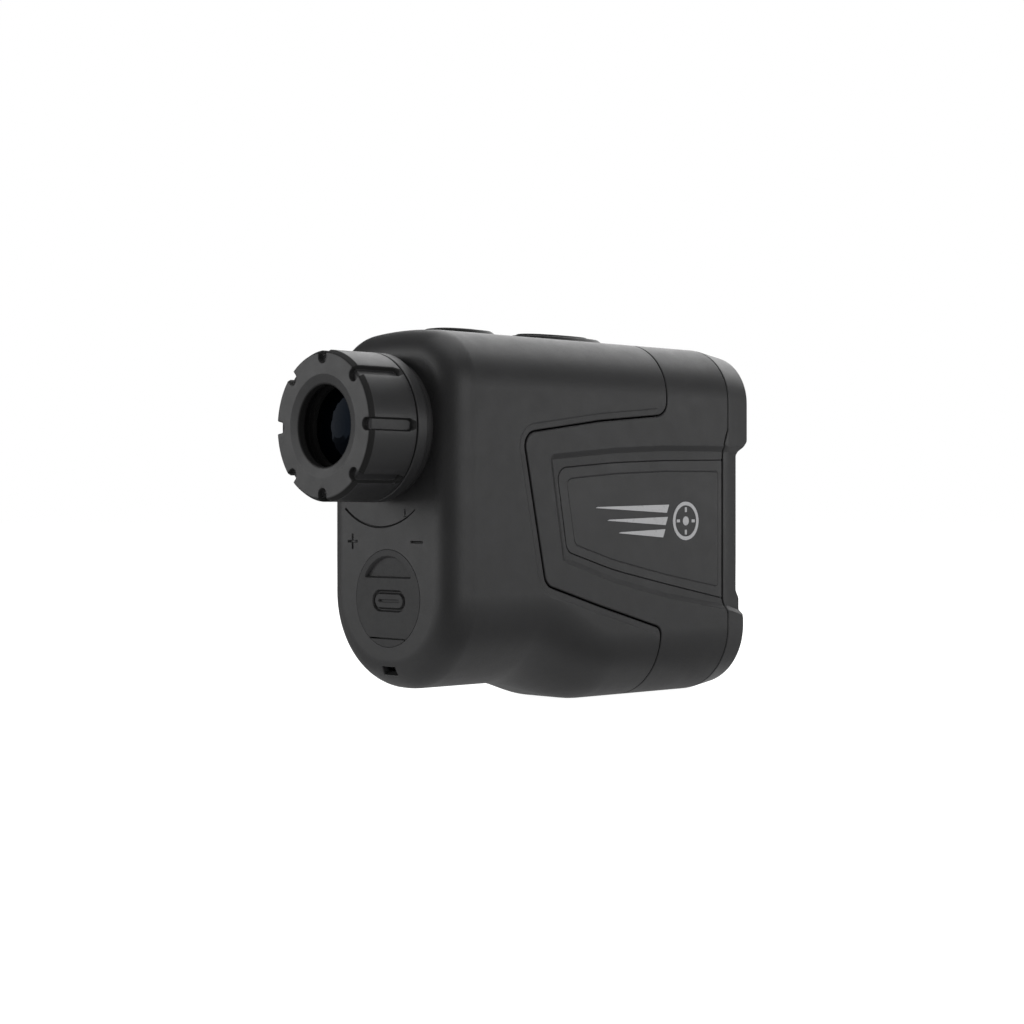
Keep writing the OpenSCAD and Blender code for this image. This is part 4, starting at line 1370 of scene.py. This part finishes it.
def plastic(name, color, rough, grain=3.0, depth=0.012, wear=0.35, spec=0.5):
    """Moulded plastic or rubber: spark-eroded grain, faint mottling, scuffs and rubbed edges."""
    m = Mat(name)
    mottle = m.noise(0.06, 4.0)
    dark = tuple(c * 0.86 for c in color)
    light = tuple(c * 1.14 for c in color)
    worn = tuple(min(1.0, c * (1 + 2.2 * wear) + 0.02 * wear) for c in color)
    base = m.blend(m.spread(mottle, 0.0, 1.0), dark, light)
    rubbed = m.edges()
    m.set(Base_Color=m.blend(m.add(rubbed, wear, "MULTIPLY"), base, worn))
    grain_noise = m.noise(grain, 3.0, 0.6)
    scuff = m.spread(m.noise(0.25, 5.0, 0.7), -0.035, 0.035)
    m.set(Roughness=m.add(m.spread(grain_noise, rough - 0.03, rough + 0.03), scuff))
    m.shader.inputs["Specular IOR Level"].default_value = spec
    m.bump(m.add(grain_noise, m.add(m.noise(grain * 3.1, 2.0), 0.35, "MULTIPLY")), depth)
    return m.mat


def metal(name, color, rough, metallic=1.0, turned_marks=True):
    m = Mat(name)
    scratches = m.noise(1.6, 5.0, 0.7)
    base = m.blend(m.spread(m.noise(0.15, 4.0), 0.0, 1.0), tuple(c * 0.88 for c in color), color)
    m.set(Base_Color=base, Roughness=m.spread(scratches, rough - 0.07, rough + 0.08))
    m.shader.inputs["Metallic"].default_value = metallic
    m.bump(scratches, 0.006 if turned_marks else 0.003)
    return m.mat


def glass(name, tint, rough=0.02, coat=(0.35, 0.5, 1.0), ior=1.52, clear=1.0):
    m = Mat(name)
    smear = m.noise(0.12, 4.0)
    m.set(Base_Color=m.blend(m.spread(smear, 0.0, 1.0), tint, tuple(c * 0.96 for c in tint)),
          Roughness=m.spread(smear, rough, rough + 0.025))
    m.shader.inputs["Transmission Weight"].default_value = clear
    m.shader.inputs["IOR"].default_value = ior
    m.shader.inputs["Specular Tint"].default_value = (*coat, 1.0)
    m.bump(smear, 0.001)
    return m.mat


def board(name):
    m = Mat(name)
    traces = m.tree.nodes.new("ShaderNodeTexBrick")
    m.put(traces.inputs["Vector"], m.coord)
    traces.inputs["Scale"].default_value = 320.0
    traces.inputs["Mortar Size"].default_value = 0.03
    traces.inputs["Color1"].default_value = (0.012, 0.10, 0.05, 1)
    traces.inputs["Color2"].default_value = (0.010, 0.085, 0.045, 1)
    traces.inputs["Mortar"].default_value = (0.03, 0.19, 0.10, 1)
    m.set(Base_Color=traces.outputs["Color"], Roughness=m.spread(m.noise(0.8), 0.28, 0.42))
    m.bump(traces.outputs["Fac"], -0.02)
    return m.mat


BLACK = (0.024, 0.024, 0.025)
MATERIALS = {
    "housing_plastic": plastic("housing_satin_black", BLACK, 0.46),
    "bezel_plastic": plastic("bezel_satin_black", (0.026, 0.026, 0.027), 0.42, 4.0, 0.008),
    "plate_plastic": plastic("plate_satin_black", (0.025, 0.025, 0.026), 0.44, 3.6, 0.009),
    "eyepiece_plastic": plastic("eyepiece_satin_black", (0.024, 0.024, 0.025), 0.44, 3.6, 0.010),
    "button_plastic": plastic("button_satin_black", (0.006, 0.006, 0.006), 0.45, 4.2, 0.006, 0.2, 0.16),
    "port_rubber": plastic("port_matte_rubber", (0.023, 0.023, 0.024), 0.56, 2.6, 0.014, 0.2),
    "seal_rubber": plastic("seal_rubber_black", (0.015, 0.015, 0.015), 0.62, 2.6, 0.012, 0.1),
    "inner_plastic": plastic("inner_flat_black", (0.010, 0.010, 0.010), 0.70, 3.0, 0.010, 0.1, 0.3),
    "black_aluminium": plastic("anodised_flat_black", (0.010, 0.010, 0.011), 0.55, 5.0, 0.006, 0.2, 0.4),
    "plain_aluminium": metal("turned_aluminium", (0.62, 0.63, 0.64), 0.32),
    "coated_glass": glass("coated_optical_glass", (0.0006, 0.0009, 0.0016), 0.05, (0.2, 0.5, 1.0),
                          1.12, 0.0),
    "prism_glass": glass("prism_optical_glass", (0.9, 0.95, 0.95), 0.01, (1.0, 1.0, 1.0)),
    "circuit_board": board("green_solder_mask"),
    "chip_plastic": plastic("chip_epoxy_black", (0.03, 0.03, 0.03), 0.5, 6.0, 0.006, 0.1),
    "battery_foil": metal("battery_pouch_foil", (0.55, 0.57, 0.6), 0.35, 0.9, False),
    "wire_plastic": plastic("wire_red_vinyl", (0.42, 0.03, 0.02), 0.32, 4.0, 0.004, 0.1),
    "sensor_brass": metal("gold_plated_brass", (0.75, 0.58, 0.30), 0.25),
    "bright_steel": metal("plain_steel", (0.58, 0.58, 0.58), 0.28),
}


def printed_silver():
    """Pad-printed silver ink: flake speckle and slight thin spots."""
    m = Mat("printed_silver_ink")
    flake = m.noise(9.0, 2.0)
    thin = m.spread(m.noise(0.9, 5.0, 0.7), 0.0, 1.0, (0.25, 0.42))
    ink = m.blend(m.spread(flake, 0.0, 1.0), (0.44, 0.44, 0.45), (0.60, 0.60, 0.61))
    m.set(Base_Color=m.blend(thin, (0.24, 0.24, 0.245), ink), Roughness=m.spread(flake, 0.36, 0.52))
    m.shader.inputs["Metallic"].default_value = 0.35
    m.bump(flake, 0.004)
    return m.mat


SILVER = printed_silver()


def dress(piece, slot_name, mat=None):
    piece.data.materials.clear()
    piece.data.materials.append(mat or MATERIALS[slot_name])
    return piece


# ---- Putting the pieces on the frame ----

FLAP_LOW = anchor_high[2]
KEY_SLOPE = 0.2
for node, slot_name, build, *args in [
        ("rear_housing", "housing_plastic", rear_housing),
        ("front_housing", "housing_plastic", front_housing),
        ("front_bezel", "bezel_plastic", front_bezel),
        ("diopter_ring", "eyepiece_plastic", diopter_ring),
        ("eyepiece_collar", "eyepiece_plastic", eyepiece_collar),
        ("port_cover", "port_rubber", cover_piece, "port_cover_flap", "port_flap", True, FLAP_LOW),
        ("port_cover_anchor", "port_rubber", cover_piece, "port_cover_strap", "chassis", False,
         FLAP_LOW - 0.02),
        ("power_button", "button_plastic", button_cap, "power_button_cap", "power_key", POWER_BOX, KEY_SLOPE),
        ("mode_button", "button_plastic", button_cap, "mode_button_cap", "mode_key", MODE_BOX, KEY_SLOPE),
        ("power_button_rim", "button_plastic", button_rim, "power_button_lip", span("power_button_rim"),
         POWER_BOX),
        ("mode_button_rim", "button_plastic", button_rim, "mode_button_lip", span("mode_button_rim"),
         MODE_BOX),
        ("right_side_plate", "plate_plastic", side_plate, 1, "right_plate_panel"),
        ("left_side_plate", "plate_plastic", side_plate, -1, "left_plate_panel")]:
    piece = build(*args)
    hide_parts(node)
    dress(piece, slot_name)
    if node == "diopter_ring":
        # Flat black on the ring's chamfer and eye opening, and painted shade on the walls of its finger
        # grooves.
        blacken_ring_and_paint_groove_shade(piece)
for side, label in ((1, "right_emblem"), (-1, "left_emblem")):
    for piece in emblem(side, label):
        dress(piece, "plate_plastic", SILVER)

slots = {part["node"]: part["material_slot"] for part in frame["record"]["subparts"]}
for name, node_object in nodes.items():
    material = MATERIALS[slots[name]]
    if node_object.material_slots:
        for place_ in node_object.material_slots:
            place_.material = material
    else:
        node_object.data.materials.append(material)

# ---- Floor, lights and camera ----


def grid_sheet(name, half, cells, z):
    mesh = bpy.data.meshes.new(name)
    line = np.linspace(-half, half, cells + 1)
    verts = [(x, y, z) for x in line for y in line]
    n = cells + 1
    faces = [(i * n + j, (i + 1) * n + j, (i + 1) * n + j + 1, i * n + j + 1)
             for i in range(cells) for j in range(cells)]
    mesh.from_pydata(verts, [], faces)
    sheet = bpy.data.objects.new(name, mesh)
    bpy.context.scene.collection.objects.link(sheet)
    return sheet


floor = grid_sheet("studio_floor", 6.0, 8, -0.0002)
paper = Mat("studio_paper")
mottle = paper.spread(paper.noise(0.004), 0.0, 1.0)
paper.set(Base_Color=paper.blend(mottle, (0.44, 0.44, 0.44), (0.46, 0.46, 0.46)), Roughness=0.9)
paper.bump(paper.noise(1.2), 0.01)
paper.shader.inputs["Emission Color"].default_value = (1, 1, 1, 1)
seen = paper.node("ShaderNodeLightPath").outputs["Is Camera Ray"]
reach = paper.tree.nodes.new("ShaderNodeVectorMath")
reach.operation = "LENGTH"
under = paper.tree.nodes.new("ShaderNodeVectorMath")
under.operation = "MULTIPLY"
under.inputs[1].default_value = (1.0, 0.35, 0.0)
paper.put(under.inputs[0], paper.coord)
paper.put(reach.inputs[0], under.outputs["Vector"])
glow = paper.spread(reach.outputs["Value"], 0.38, 0.0, (0.020, 0.028))
paper.set(Emission_Strength=paper.add(paper.add(seen, 0.97, "MULTIPLY"),
                                      paper.add(glow, paper.add(1.0, seen, "SUBTRACT"), "MULTIPLY")))
floor.data.materials.append(paper.mat)


MIDDLE = Vector((0, 0, 0.04))
for name, at, width, height, power in [
        ("right_softbox", (0.75, 0.66, 0.13), 0.8, 0.28, 1.25),
        ("rear_softbox", (-0.62, -0.72, 0.20), 0.8, 0.6, 3.1),
        ("side_softbox", (1.18, -0.22, 0.24), 1.2, 0.45, 4.0),
        ("top_softbox", (0.0, 0.0, 0.95), 0.9, 0.9, 4.0),
        ("back_softbox", (-0.30, 0.72, 0.62), 1.0, 0.8, 5.5)]:
    light = bpy.data.lights.new(name, "AREA")
    light.shape = "RECTANGLE"
    light.size, light.size_y = width, height
    light.energy = power
    lamp = bpy.data.objects.new(name, light)
    lamp.location = at
    lamp.rotation_euler = (MIDDLE - Vector(at)).to_track_quat("-Z", "Y").to_euler()
    bpy.context.scene.collection.objects.link(lamp)

world = bpy.data.worlds.new("studio_world")
bpy.context.scene.world = world
world.use_nodes = True
tree = world.node_tree
back = tree.nodes["Background"]
path = tree.nodes.new("ShaderNodeLightPath")
level = tree.nodes.new("ShaderNodeMapRange")
level.inputs["To Min"].default_value = 0.09
level.inputs["To Max"].default_value = 1.0
tree.links.new(path.outputs["Is Camera Ray"], level.inputs["Value"])
tree.links.new(level.outputs["Result"], back.inputs["Strength"])
back.inputs["Color"].default_value = (1, 1, 1, 1)

camera = bpy.data.objects.new("camera", bpy.data.cameras.new("camera"))
bpy.context.scene.collection.objects.link(camera)
bpy.context.scene.camera = camera
camera.data.sensor_width = 36.0
camera.data.lens = 72.2
camera.data.clip_start = 0.01
camera.data.clip_end = 50
AIM = Vector((0, -0.0019, 0.0393))
azimuth = math.radians(46.2)
camera.location = AIM + 0.430 * Vector((math.sin(azimuth), -math.cos(azimuth), 0))
camera.rotation_euler = (AIM - camera.location).to_track_quat("-Z", "Y").to_euler()
bpy.context.scene.view_settings.view_transform = "Standard"
bpy.context.view_layer.update()
